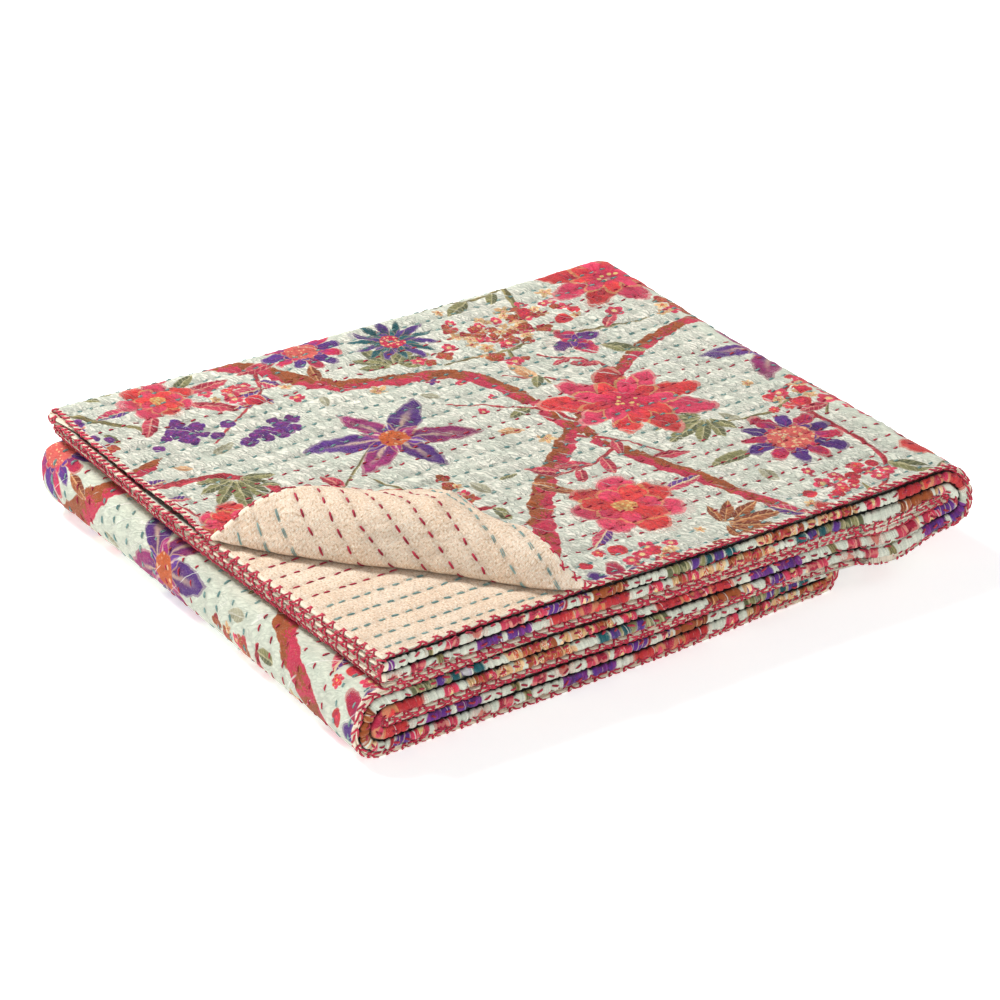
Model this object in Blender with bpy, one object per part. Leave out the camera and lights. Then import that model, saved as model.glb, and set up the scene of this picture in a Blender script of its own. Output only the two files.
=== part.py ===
"""A kantha quilt, folded into a flat stack with its top front corner turned back.

The quilt is two cotton cloths of one size, a printed face and a plain backing. It is first folded in four
across its width, which gives a long strip of four leaves, and the strip is then folded in six along its
length. Both cloths start here as flat sheets, u across the quilt's width and v along its length. Each point
is then carried through the two folds, round the turned-back corner, and onto a stack that lies as unevenly
as folded cloth does. The stack's long side runs along X, the side with the sewn edges faces -Y, and the
origin is on the floor under the middle of the stack.
"""

import math
from typing import NamedTuple

import bmesh
import bpy
import numpy as np
from mathutils import Vector

# Driving sizes, in metres.
STACK_LENGTH = 0.405  # from the strip's ends, at the left, to the middle of the upper right-hand turn
STACK_WIDTH = 0.359  # from the sewn edges, at the front, to the middle of the turns at the back
CLOTH_THICKNESS = 0.0010
CLOTH_GAP = 0.0003
LEAF_PITCH = 0.0027  # from one leaf of the quilt to the next, with a little air

LEAVES_IN_STRIP = 4
STRIPS_IN_STACK = 6
STRIP_PITCH = LEAVES_IN_STRIP * LEAF_PITCH
QUILT_THICKNESS = 2 * CLOTH_THICKNESS + CLOTH_GAP
STACK_HEIGHT = STRIPS_IN_STACK * STRIP_PITCH
FLOOR_AIR = (LEAF_PITCH - QUILT_THICKNESS) / 2  # what the lowest leaf would float above the floor

FRONT_TURN = 0.0025  # y of the middle of the front turns, so that their noses lie level with the sewn edges
LEFT_TURN = -0.003  # x of the middle of the left-hand turns
LOWER_RIGHT_TURN = 0.318  # x of the middle of the lower right-hand turn, which lies further in
STACK_MIDDLE = (0.2021, 0.1801)  # the middle of the finished stack's box, which becomes the origin

GRID_X = (0.0795, 0.159, 0.2385, LOWER_RIGHT_TURN, 0.361)  # cuts across every strip
GRID_Y = (0.090, 0.180, 0.270)  # cuts along every leaf
LONG_TURN_STEPS = 6
CROSS_TURN_STEPS = 4


class Run(NamedTuple):
    """A flat stretch of a fold, at a level counted from the top."""

    name: str
    start: float
    end: float
    level: int


# Across the width, seen from the left: the open edge of leaf A is on top.
LEAVES = (
    Run("A", 0.0, STACK_WIDTH, 1),
    Run("D", STACK_WIDTH, FRONT_TURN, 4),
    Run("C", FRONT_TURN, STACK_WIDTH, 3),
    Run("B", STACK_WIDTH, 0.0, 2),
)
# Along the length, seen from the front: the first strip is the top one.
STRIPS = (
    Run("first", 0.0, STACK_LENGTH, 1),
    Run("second", STACK_LENGTH, LEFT_TURN, 4),
    Run("third", LEFT_TURN, LOWER_RIGHT_TURN, 5),
    Run("fourth", LOWER_RIGHT_TURN, LEFT_TURN, 6),
    Run("fifth", LEFT_TURN, STACK_LENGTH, 3),
    Run("sixth", STACK_LENGTH, 0.0, 2),
)

# The turned-back corner: its crease crosses leaf A from the left-hand end to the front edge.
CREASE_BACK = 0.1785  # y where the crease meets the left-hand end
CREASE_RIGHT = 0.1565  # x where the crease meets the front edge
FIRST_BEND = math.radians(117)  # how far the cloth turns up at the crease itself
TIP_START = 0.090  # this far from the crease the corner's tip droops behind the curl
TIP_RADIUS = 0.012
TIP_END = math.radians(248)
CREASE_CUTS = (0.0, 0.003, 0.006, 0.009, 0.016, 0.024, 0.033, 0.042, 0.051, 0.060, 0.075, 0.090, 0.096, 0.102)
CROSS_CUTS = (0.010, 0.024, 0.048, 0.072, 0.096, 0.120, 0.134, 0.150, 0.172, 0.195, 0.214, 0.228)
CORNER_LIFT = 0.0010  # leaf A lies this much looser round the corner


class Curl(NamedTuple):
    """The corner's section at a share of the way along its crease."""

    share: float
    crease_out: float  # how far the crease bows towards the corner
    crease_radius: float
    rise: float  # the straight part above the crease
    back_radius: float
    back_slope: float  # the direction, in degrees, in which the cloth runs down behind
    fullness: float  # how much the puffed cloth stretches


CURLS = (
    Curl(0.00, 0.0000, 0.0030, 0.010, 0.026, 197, 1.3),
    Curl(0.10, 0.0045, 0.0035, 0.012, 0.024, 197, 1.5),
    Curl(0.22, 0.0090, 0.0040, 0.014, 0.022, 197, 1.3),
    Curl(0.40, 0.0125, 0.0040, 0.014, 0.020, 198, 1.0),
    Curl(0.50, 0.0112, 0.0040, 0.014, 0.021, 199, 1.0),
    Curl(0.57, 0.0115, 0.0040, 0.016, 0.022, 202, 1.0),
    Curl(0.63, 0.0120, 0.0040, 0.012, 0.022, 208, 1.0),
    Curl(0.70, 0.0135, 0.0040, 0.009, 0.020, 216, 1.0),
    Curl(0.82, 0.0160, 0.0040, 0.006, 0.020, 226, 1.2),
    Curl(0.90, 0.0150, 0.0035, 0.006, 0.018, 226, 1.5),
    Curl(0.96, 0.0080, 0.0030, 0.005, 0.016, 226, 1.5),
    Curl(1.00, 0.0000, 0.0030, 0.004, 0.014, 226, 1.2),
)


class Lie(NamedTuple):
    """How far one strip's edges lie out of line."""

    level: int
    left_front: float
    left_middle: float  # on top of what its two ends give
    left_back: float
    right_front: float
    right_back: float
    front_left: float
    front_right: float


LIES = (
    Lie(1, 0.000, -0.004, -0.001, -0.006, -0.006, -0.004, -0.001),
    Lie(2, -0.001, -0.004, 0.004, -0.005, -0.006, -0.003, -0.002),
    Lie(3, 0.004, 0.001, 0.013, -0.002, -0.005, -0.003, -0.001),
    Lie(4, 0.006, 0.002, 0.017, 0.001, -0.004, -0.004, -0.002),
    Lie(5, 0.005, 0.003, 0.019, 0.000, -0.003, -0.002, -0.001),
    Lie(6, 0.003, 0.003, 0.020, 0.000, -0.003, -0.003, 0.000),
)
LOWER_DRAW_BACK = 0.008  # how far the two lowest strips' front edge is drawn in at the right
WAVE_HEIGHT = 0.0014
FRONT_DROOP = 0.0012
CORNER_RISE = 0.0035  # at the back left
RIGHT_HOLLOW = 0.003
RIGHT_SAG = 0.013  # how far the upper strips sag past the end of the lowest two
BACK_SKEW = 0.007

# The rows of quilting run along the stack, and the printed cloth stands up between them.
FIRST_ROW = 0.0075  # from the sewn edge
ROW_SPACING = 0.0148
PUFF_HEIGHT = 0.0007

PRINT_GREEN = (0.60, 0.67, 0.58, 1.0)
BACKING_BEIGE = (0.74, 0.58, 0.44, 1.0)


class Stretch(NamedTuple):
    """One run or one half turn of a fold route, from start to end along the cloth."""

    start: float
    end: float
    place: float  # where it starts, or the middle of its turn
    height: float
    radius: float  # 0 for a run
    heading: int  # 1 away from the first edge, -1 towards it
    rise: int  # 1 if a turn goes up, -1 if it goes down
    cuts: tuple


def fold_route(runs, pitch, grid, turn_steps):
    """The stretches of a cloth that runs to and fro, with half a turn between each run and the next."""
    middle = (len(runs) + 1) / 2
    route = []
    along = 0.0
    for run, following in zip(runs, (*runs[1:], None)):
        heading = 1 if run.end > run.start else -1
        height = (middle - run.level) * pitch
        inner = [g for g in grid if min(run.start, run.end) < g < max(run.start, run.end)]
        cuts = tuple(along + abs(g - run.start) for g in inner)
        length = abs(run.end - run.start)
        route.append(Stretch(along, along + length, run.start, height, 0.0, heading, 0, cuts))
        along += length
        if following:
            radius = abs(following.level - run.level) * pitch / 2
            rise = 1 if following.level < run.level else -1
            length = math.pi * radius
            cuts = tuple(along + length * step / turn_steps for step in range(1, turn_steps))
            centre = height + rise * radius
            route.append(Stretch(along, along + length, run.end, centre, radius, heading, rise, cuts))
            along += length
    return route


ACROSS = fold_route(LEAVES, LEAF_PITCH, GRID_Y, CROSS_TURN_STEPS)
ALONG = fold_route(STRIPS, STRIP_PITCH, GRID_X, LONG_TURN_STEPS)
QUILT_WIDTH = ACROSS[-1].end
QUILT_LENGTH = ALONG[-1].end


def stations(route):
    """Every distance along a route at which the cloth is cut into faces."""
    found = {0.0}
    for stretch in route:
        found.update((*stretch.cuts, stretch.end))
    return sorted(found)


def follow(route, distance):
    """Where each distance lies, and the direction that the printed face looks in, as (place, height) pairs."""
    distance = np.clip(distance, 0.0, route[-1].end)
    place = np.zeros((len(distance), 2))
    facing = np.zeros((len(distance), 2))
    for s in route:
        here = (distance >= s.start) & (distance <= s.end)
        d = distance[here] - s.start
        if s.radius:
            angle = d / s.radius
            place[here] = np.stack(
                [s.place + s.heading * s.radius * np.sin(angle), s.height - s.rise * s.radius * np.cos(angle)], 1
            )
            facing[here] = np.stack([-s.rise * np.sin(angle), s.heading * np.cos(angle)], 1)
        else:
            place[here] = np.stack([s.place + s.heading * d, np.full_like(d, s.height)], 1)
            facing[here] = (0.0, s.heading)
    return place, facing


CREASE_LENGTH = math.hypot(CREASE_RIGHT, CREASE_BACK)
CREASE_START = np.array([0.0, CREASE_BACK])
CREASE_WAY = np.array([CREASE_RIGHT, -CREASE_BACK]) / CREASE_LENGTH
CORNER_WAY = np.array([-CREASE_BACK, -CREASE_RIGHT]) / CREASE_LENGTH  # from the crease to the corner's tip


def curl_column(column, share):
    """One column of the table of curls at each share of the crease."""
    return np.interp(share, [c.share for c in CURLS], [getattr(c, column) for c in CURLS])


def curl_section(s, crease_radius, rise, back_radius, back_slope):
    """How far cloth that lies s beyond the crease reaches out and up, and the direction it runs in there."""
    first_length = crease_radius * FIRST_BEND
    back_length = back_radius * (back_slope - FIRST_BEND)
    flat_length = np.maximum(TIP_START - first_length - rise - back_length, 0.0)
    stretches = (
        (first_length, crease_radius),
        (rise, None),
        (back_length, back_radius),
        (flat_length, None),
        (TIP_RADIUS * (TIP_END - back_slope), TIP_RADIUS),
        (CREASE_LENGTH, None),
    )
    out, up, angle = np.zeros_like(s), np.zeros_like(s), np.zeros_like(s)
    for length, radius in stretches:
        here = np.minimum(s, length)
        s = s - here
        if radius is None:
            out = out + here * np.cos(angle)
            up = up + here * np.sin(angle)
        else:
            turned = angle + here / radius
            out = out + radius * (np.sin(turned) - np.sin(angle))
            up = up + radius * (np.cos(angle) - np.cos(turned))
            angle = turned
    return out, up, angle


def turn_corner(u, v, lift):
    """Leaf A beyond the crease, curled up and back: which points those are, their x and y, and their height."""
    from_start = np.stack([v, u], 1) - CREASE_START
    t = from_start @ CREASE_WAY
    share = t / CREASE_LENGTH
    bow = curl_column("crease_out", share)
    s = (from_start @ CORNER_WAY - bow) * curl_column("fullness", share)
    beyond = (s > 0) & (u < STACK_WIDTH) & (v < STACK_LENGTH)
    t, s, bow, share, lift = t[beyond], s[beyond], bow[beyond], share[beyond], lift[beyond]

    columns = [curl_column(name, share) for name in ("crease_radius", "rise", "back_radius", "back_slope")]
    out, up, angle = curl_section(s, *columns[:3], np.radians(columns[3]))
    out, up = bow + out - lift * np.sin(angle), up + lift * np.cos(angle)
    plan = CREASE_START + t[:, None] * CREASE_WAY + out[:, None] * CORNER_WAY
    return beyond, plan, up


def ease(value):
    """0 to 1, with a soft start and end."""
    value = np.clip(value, 0.0, 1.0)
    return value * value * (3 - 2 * value)


def settle(x, y, z):
    """The small unevenness of the stack as it lies, the same for every leaf at a place. The floor stays flat."""
    level = STRIPS_IN_STACK + 0.5 - z / STRIP_PITCH
    levels = [lie.level for lie in LIES]

    def lie(column):
        return np.interp(level, levels, [getattr(row, column) for row in LIES])

    right = np.clip(x / STACK_LENGTH, 0.0, 1.0)
    back = np.clip(y / STACK_WIDTH, 0.0, 1.0)
    height = z / STACK_HEIGHT

    left_end = lie("left_front") + (lie("left_back") - lie("left_front")) * back
    right_end = lie("right_front") + (lie("right_back") - lie("right_front")) * back
    left_end = left_end + lie("left_middle") * np.sin(math.pi * back)
    new_x = x + left_end * (1 - right) + (right_end - RIGHT_HOLLOW * np.sin(math.pi * back)) * right

    front_edge = lie("front_left") + (lie("front_right") - lie("front_left")) * right
    drawn_back = LOWER_DRAW_BACK * ease((x - GRID_X[1]) / (LOWER_RIGHT_TURN - GRID_X[1]))
    front_edge = front_edge + np.where(z < 2 * STRIP_PITCH - FLOOR_AIR, drawn_back, 0.0)
    new_y = y + front_edge * (1 - back) - BACK_SKEW * back * ease(right)

    wave = np.sin(2 * math.pi * (1.15 * right + 0.45 * back)) * np.cos(2 * math.pi * (0.85 * back - 0.2 * right))
    rise = CORNER_RISE * ease(1 - x / GRID_X[1]) * ease((y - GRID_Y[1]) / GRID_Y[1])
    droop = FRONT_DROOP * (1 - ease(y / GRID_Y[0]))
    sag_place = np.clip((x - LOWER_RIGHT_TURN) / (STACK_LENGTH - LOWER_RIGHT_TURN), 0.0, 1.0)
    sag = RIGHT_SAG * np.sin(math.pi * sag_place) ** 2 * np.clip(1 - height, 0.0, 1.0)
    new_z = z + height * (WAVE_HEIGHT * wave + rise - droop) - np.where(z > 2 * STRIP_PITCH - FLOOR_AIR, sag, 0.0)
    return new_x, new_y, new_z


def lay(u, v, lift):
    """Carries points of the flat quilt, lift above its middle on the printed side, to where they lie folded."""
    section, section_facing = follow(ACROSS, u)
    section = section + lift[:, None] * section_facing
    route, route_facing = follow(ALONG, v)
    x = route[:, 0] + section[:, 1] * route_facing[:, 0]
    y = section[:, 0].copy()
    z = route[:, 1] + section[:, 1] * route_facing[:, 1] + STACK_HEIGHT / 2 - FLOOR_AIR

    corner = (u < STACK_WIDTH) & (v < STACK_LENGTH)
    loose = CORNER_LIFT * (1 - ease((np.hypot(u, v) - CREASE_BACK) / GRID_Y[0]))
    z = z + np.where(corner, loose, 0.0)
    beyond, plan, up = turn_corner(u, v, lift)
    x[beyond], y[beyond] = plan.T
    z[beyond] = z[beyond] - lift[beyond] + up

    x, y, z = settle(x, y, z)
    return np.stack([x - STACK_MIDDLE[0], y - STACK_MIDDLE[1], z], 1)


def flat_cloth(bm):
    """A flat sheet in u and v, cut at every station and, round the corner, along and across its crease."""
    cuts_u, cuts_v = stations(ACROSS), stations(ALONG)
    bmesh.ops.create_grid(bm, x_segments=len(cuts_u) - 1, y_segments=len(cuts_v) - 1, size=1.0)
    for vert in bm.verts:
        column = round((vert.co.x + 1) / 2 * (len(cuts_u) - 1))
        row = round((vert.co.y + 1) / 2 * (len(cuts_v) - 1))
        vert.co = (cuts_u[column], cuts_v[row], 0.0)

    split_quads(bm)
    for cut in CREASE_CUTS:
        cut_corner(bm, CORNER_WAY, cut)
    for cut in CROSS_CUTS:
        cut_corner(bm, CREASE_WAY, cut)
    for vert in bm.verts:
        bow_crease(vert)
    bmesh.ops.triangulate(bm, faces=[face for face in bm.faces if len(face.verts) > 3])


def split_quads(bm):
    """Splits each face along the diagonal that runs the same way in every leaf, so that the leaves nest."""
    for face in list(bm.faces):
        middle = face.calc_center_median()
        across = next(s.heading for s in ACROSS if s.start <= middle.x <= s.end)
        along = next(s.heading for s in ALONG if s.start <= middle.y <= s.end)
        corners = sorted(face.verts, key=lambda vert: across * vert.co.x + along * vert.co.y)
        bmesh.utils.face_split(face, corners[0], corners[-1])


def from_crease(point):
    """How far a point of the flat cloth lies along the crease and beyond it, towards the corner's tip."""
    offset = np.array([point.y, point.x]) - CREASE_START
    return offset @ CREASE_WAY, offset @ CORNER_WAY


def cut_corner(bm, way, distance):
    """Cuts the turned-back corner by one upright plane across a way, at a distance from the crease's start."""
    near = [face for face in bm.faces if any(beyond_crease(vert) for vert in face.verts)]
    geometry = {*near, *(e for f in near for e in f.edges), *(v for f in near for v in f.verts)}
    place = CREASE_START + way * distance
    bmesh.ops.bisect_plane(
        bm, geom=list(geometry), dist=1e-5, plane_co=(place[1], place[0], 0.0), plane_no=(way[1], way[0], 0.0)
    )


def beyond_crease(vert):
    """Whether a point of the flat cloth is part of the turned-back corner."""
    return vert.co.x < CREASE_BACK and vert.co.y < CREASE_RIGHT and from_crease(vert.co)[1] > 1e-5


def bow_crease(vert):
    """Moves a point of the corner so that the straight cuts follow the crease, which bows towards the tip."""
    t, s = from_crease(vert.co)
    on_crease = CREASE_START + t * CREASE_WAY
    to_edge = min(on_crease / -CORNER_WAY)
    if s < -1e-5 or to_edge < 1e-4:
        return
    shift = curl_column("crease_out", t / CREASE_LENGTH) * max(1 - s / to_edge, 0.0)
    vert.co.x += CORNER_WAY[1] * shift
    vert.co.y += CORNER_WAY[0] * shift


def puff_between_rows(bm, puffed):
    """Cuts the marked faces at each row of quilting and halfway between, and raises the halfway lines."""
    for half_row in range(int(2 * (STACK_WIDTH - FIRST_ROW) / ROW_SPACING)):
        near = [face for face in bm.faces if face[puffed]]
        geometry = {*near, *(e for f in near for e in f.edges), *(v for f in near for v in f.verts)}
        place = FIRST_ROW + half_row * ROW_SPACING / 2 - STACK_MIDDLE[1]
        bmesh.ops.bisect_plane(
            bm, geom=list(geometry), dist=1e-5, plane_co=(0.0, place, 0.0), plane_no=(0.0, 1.0, 0.0)
        )
    for vert in bm.verts:
        if all(face[puffed] for face in vert.link_faces):
            flat = Vector((vert.co.y + STACK_MIDDLE[1], vert.co.x + STACK_MIDDLE[0]))
            fade = ease(-from_crease(flat)[1] / ROW_SPACING)
            vert.co.z += PUFF_HEIGHT * fade * abs(math.sin(math.pi * (flat.x - FIRST_ROW) / ROW_SPACING))
    bmesh.ops.triangulate(bm, faces=[face for face in bm.faces if len(face.verts) > 3])


def lies_on_top(face, level):
    """Whether a face of the flat cloth, at a level, is part of the top leaf that isn't turned back."""
    middle = face.calc_center_median()
    t, s = from_crease(middle)
    lying = s < curl_column("crease_out", t / CREASE_LENGTH)
    return lying and middle.x < STACK_WIDTH and middle.y < STACK_LENGTH and abs(middle.z - level) < 1e-6


def make_cloth(name, lowest, colour, puffed_side, collection):
    """One closed cloth of the quilt, from its lowest level above the quilt's middle."""
    bm = bmesh.new()
    flat_cloth(bm)
    underside = list(bm.faces)
    raised = bmesh.ops.extrude_face_region(bm, geom=underside, use_keep_orig=True)
    for vert in bm.verts:
        vert.co.z = lowest
    for vert in (v for v in raised["geom"] if isinstance(v, bmesh.types.BMVert)):
        vert.co.z = lowest + CLOTH_THICKNESS
    puffed = bm.faces.layers.int.new("puffed")
    for face in bm.faces:
        face[puffed] = puffed_side and lies_on_top(face, lowest + CLOTH_THICKNESS)

    flat = np.array([vert.co for vert in bm.verts])
    for vert, place in zip(bm.verts, lay(*flat.T)):
        vert.co = place
    if puffed_side:
        puff_between_rows(bm, puffed)
    bmesh.ops.recalc_face_normals(bm, faces=bm.faces)
    if bm.calc_volume(signed=True) < 0:
        bmesh.ops.reverse_faces(bm, faces=bm.faces)

    mesh = bpy.data.meshes.new(name)
    bm.to_mesh(mesh)
    bm.free()
    mesh.materials.append(cotton(name, colour))
    cloth = bpy.data.objects.new(name, mesh)
    collection.objects.link(cloth)
    return cloth


def cotton(name, colour):
    """A matt cotton of one colour."""
    material = bpy.data.materials.new(name)
    material.use_nodes = True
    shader = material.node_tree.nodes["Principled BSDF"]
    shader.inputs["Base Color"].default_value = colour
    shader.inputs["Roughness"].default_value = 0.9
    shader.inputs["Metallic"].default_value = 0.0
    return material


def main():
    for old in list(bpy.data.objects):
        bpy.data.objects.remove(old)
    quilt = bpy.data.collections.new("kantha_quilt")
    bpy.context.scene.collection.children.link(quilt)
    make_cloth("printed_face", CLOTH_GAP / 2, PRINT_GREEN, True, quilt)
    make_cloth("plain_backing", -CLOTH_GAP / 2 - CLOTH_THICKNESS, BACKING_BEIGE, False, quilt)
    print(f"quilt {QUILT_WIDTH:.3f} by {QUILT_LENGTH:.3f} m, folded {STACK_HEIGHT * 1000:.0f} mm high")


main()
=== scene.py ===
# %% [markdown]
# # A kantha quilt, folded away
#
# A kantha quilt is two thin cottons, one printed and one plain, held together by rows of running stitches over
# the whole cloth, and whipped together round the edge. This lesson takes two flat cloths, folds them into a stack
# with one corner turned back, and then dresses them: puckers, printed flowers, weave and every stitch.
#
# The imported solids are loaded first. They give the room that the stack takes up.

# %% The frame
import math
import random
from typing import NamedTuple

import bmesh
import bpy
import numpy as np
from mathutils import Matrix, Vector
from mathutils.kdtree import KDTree


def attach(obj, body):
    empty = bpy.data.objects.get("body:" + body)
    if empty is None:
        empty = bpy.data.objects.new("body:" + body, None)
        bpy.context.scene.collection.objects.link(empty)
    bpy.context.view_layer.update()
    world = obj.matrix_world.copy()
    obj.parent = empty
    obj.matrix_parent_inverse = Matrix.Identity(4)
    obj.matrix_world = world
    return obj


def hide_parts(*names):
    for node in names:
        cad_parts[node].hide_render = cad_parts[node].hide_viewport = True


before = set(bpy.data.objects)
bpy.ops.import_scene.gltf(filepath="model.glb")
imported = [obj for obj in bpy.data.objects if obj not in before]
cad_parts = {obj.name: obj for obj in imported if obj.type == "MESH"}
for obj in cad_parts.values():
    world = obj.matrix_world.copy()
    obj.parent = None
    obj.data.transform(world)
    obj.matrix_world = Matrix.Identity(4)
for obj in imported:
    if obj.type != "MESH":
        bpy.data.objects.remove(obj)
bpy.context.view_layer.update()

MM = 0.001

# %% [markdown]
# ## Camera, floor and light
#
# The camera comes first, because the size of every later detail depends on how large it shows. A long lens from
# about three metres keeps the stack's edges almost parallel, as in a catalogue. The light is soft and comes from
# all round, with one stronger lamp high at the back left, so that the puckers cast short, pale shadows.

# %% Camera
LENS = 180.0  # on a sensor 36 wide, in millimetres
CAMERA_PLACE = Vector((-1.52297, -2.19512, 1.40148))
CAMERA_WAY = Vector((0.5075, 0.7296, -0.4583))

camera = bpy.data.objects.new("camera", bpy.data.cameras.new("camera"))
camera.data.lens = LENS
camera.data.sensor_width = 36.0
camera.data.clip_start = 0.1
camera.data.dof.use_dof = False
camera.location = CAMERA_PLACE
camera.rotation_mode = "QUATERNION"
camera.rotation_quaternion = CAMERA_WAY.to_track_quat("-Z", "Y")
bpy.context.scene.collection.objects.link(camera)
bpy.context.scene.camera = camera
print("camera", round(CAMERA_PLACE.length, 2), "m from the stack")

# %% Floor
FLOOR_SIZE = 6.0
FLOOR_BELOW = 0.0004  # so that it doesn't flicker with the underside
FLOOR_GLOW = 0.52  # keeps the floor white up to the stack


def plain_material(name, colour, roughness):
    """A new material with a shader of one colour, and that shader."""
    material = bpy.data.materials.new(name)
    material.use_nodes = True
    shader = material.node_tree.nodes["Principled BSDF"]
    shader.inputs["Base Color"].default_value = (*colour, 1.0)
    shader.inputs["Roughness"].default_value = roughness
    return material, shader


bm = bmesh.new()
bmesh.ops.create_grid(bm, x_segments=1, y_segments=1, size=FLOOR_SIZE / 2)
bmesh.ops.translate(bm, verts=bm.verts, vec=(0.0, 0.0, -FLOOR_BELOW))
floor_mesh = bpy.data.meshes.new("floor")
bm.to_mesh(floor_mesh)
bm.free()
floor = bpy.data.objects.new("floor", floor_mesh)
bpy.context.scene.collection.objects.link(floor)
floor_paint, floor_shader = plain_material("floor_white", (0.80, 0.80, 0.80), 0.8)
floor_shader.inputs["Emission Color"].default_value = (1.0, 1.0, 1.0, 1.0)
floor_shader.inputs["Emission Strength"].default_value = FLOOR_GLOW
floor_mesh.materials.append(floor_paint)
print("white floor", FLOOR_SIZE, "m across")

# %% Light
class Lamp(NamedTuple):
    """A square soft lamp that looks at the stack."""

    name: str
    place: tuple
    size: float
    watts: float
    colour: tuple


LAMPS = (
    Lamp("key", (-0.60, 1.25, 1.70), 0.5, 52.0, (1.0, 0.985, 0.96)),
    Lamp("fill", (-1.1, -2.4, 1.3), 1.4, 26.0, (1.0, 1.0, 1.0)),
    Lamp("side", (2.0, -0.6, 1.2), 1.2, 8.0, (0.97, 0.99, 1.0)),
)
SKY = 0.36  # brightness of the white room

for lamp in LAMPS:
    data = bpy.data.lights.new(lamp.name, "AREA")
    data.size = lamp.size
    data.energy = lamp.watts
    data.color = lamp.colour
    light = bpy.data.objects.new(lamp.name, data)
    light.location = lamp.place
    light.rotation_mode = "QUATERNION"
    light.rotation_quaternion = (-Vector(lamp.place)).to_track_quat("-Z", "Y")
    bpy.context.scene.collection.objects.link(light)

world = bpy.data.worlds.new("white_room")
world.use_nodes = True
sky = world.node_tree.nodes["Background"]
sky.inputs["Color"].default_value = (1.0, 1.0, 1.0, 1.0)
sky.inputs["Strength"].default_value = SKY
bpy.context.scene.world = world
bpy.context.scene.view_settings.view_transform = "Standard"  # keeps the print's colours as they are mixed
print(len(LAMPS), "lamps in a white room")

# %% [markdown]
# ## The fold
#
# Folded cloth is a route, not a block. The quilt is first folded in four across its width, and the long strip that
# this gives is folded in six along its length. A point of the flat cloth, u across and v along, follows the first
# route to find its place in the strip, and the second to find its place in the stack. Two tables hold the runs and
# the order in which they lie, and half turns join them. These are the same tables that the solids are made from,
# so that the finished cloth lies inside them.

# %% Sizes of the stack, in metres
STACK_LENGTH = 0.405  # from the strip's ends, at the left, to the middle of the upper right-hand turn
STACK_WIDTH = 0.359  # from the sewn edges, at the front, to the middle of the turns at the back
CLOTH_THICKNESS = 0.0010
CLOTH_GAP = 0.0003
LEAF_PITCH = 0.0027  # from one leaf of the quilt to the next, with a little air

LEAVES_IN_STRIP = 4
STRIPS_IN_STACK = 6
STRIP_PITCH = LEAVES_IN_STRIP * LEAF_PITCH
QUILT_THICKNESS = 2 * CLOTH_THICKNESS + CLOTH_GAP
STACK_HEIGHT = STRIPS_IN_STACK * STRIP_PITCH
FLOOR_AIR = (LEAF_PITCH - QUILT_THICKNESS) / 2  # what the lowest leaf would float above the floor

FRONT_TURN = 0.0025  # y of the middle of the front turns, so that their noses lie level with the sewn edges
LEFT_TURN = -0.003  # x of the middle of the left-hand turns
LOWER_RIGHT_TURN = 0.318  # x of the middle of the lower right-hand turn, which lies further in
STACK_MIDDLE = (0.2021, 0.1801)  # the middle of the finished stack's box, which becomes the origin

WIDTH_CUTS = tuple(STACK_WIDTH * step / 6 for step in range(1, 6))  # where every leaf is cut into faces
LENGTH_CUTS = tuple(STACK_LENGTH * step / 6 for step in range(1, 6))
LONG_TURN_STEPS = 12
CROSS_TURN_STEPS = 6

# %% The two tables of runs
class Run(NamedTuple):
    """A flat stretch of a fold, at a level counted from the top."""

    name: str
    start: float
    end: float
    level: int


# Across the width, seen from the left: the open edge of leaf A is on top.
LEAVES = (
    Run("A", 0.0, STACK_WIDTH, 1),
    Run("D", STACK_WIDTH, FRONT_TURN, 4),
    Run("C", FRONT_TURN, STACK_WIDTH, 3),
    Run("B", STACK_WIDTH, 0.0, 2),
)
# Along the length, seen from the front: the first strip is the top one.
STRIPS = (
    Run("first", 0.0, STACK_LENGTH, 1),
    Run("second", STACK_LENGTH, LEFT_TURN, 4),
    Run("third", LEFT_TURN, LOWER_RIGHT_TURN, 5),
    Run("fourth", LOWER_RIGHT_TURN, LEFT_TURN, 6),
    Run("fifth", LEFT_TURN, STACK_LENGTH, 3),
    Run("sixth", STACK_LENGTH, 0.0, 2),
)

# %% Routes
class Stretch(NamedTuple):
    """One run or one half turn of a fold route, from start to end along the cloth."""

    start: float
    end: float
    place: float  # where it starts, or the middle of its turn
    height: float
    radius: float  # 0 for a run
    heading: int  # 1 away from the first edge, -1 towards it
    rise: int  # 1 if a turn goes up, -1 if it goes down
    cuts: tuple


def fold_route(runs, pitch, grid, turn_steps):
    """The stretches of a cloth that runs to and fro, with half a turn between each run and the next."""
    middle = (len(runs) + 1) / 2
    route = []
    along = 0.0
    for run, following in zip(runs, (*runs[1:], None)):
        heading = 1 if run.end > run.start else -1
        height = (middle - run.level) * pitch
        inner = [g for g in grid if min(run.start, run.end) < g < max(run.start, run.end)]
        cuts = tuple(along + abs(g - run.start) for g in inner)
        length = abs(run.end - run.start)
        route.append(Stretch(along, along + length, run.start, height, 0.0, heading, 0, cuts))
        along += length
        if following:
            radius = abs(following.level - run.level) * pitch / 2
            rise = 1 if following.level < run.level else -1
            length = math.pi * radius
            cuts = tuple(along + length * step / turn_steps for step in range(1, turn_steps))
            centre = height + rise * radius
            route.append(Stretch(along, along + length, run.end, centre, radius, heading, rise, cuts))
            along += length
    return route


ACROSS = fold_route(LEAVES, LEAF_PITCH, WIDTH_CUTS, CROSS_TURN_STEPS)
ALONG = fold_route(STRIPS, STRIP_PITCH, LENGTH_CUTS, LONG_TURN_STEPS)
QUILT_WIDTH = ACROSS[-1].end
QUILT_LENGTH = ALONG[-1].end

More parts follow.
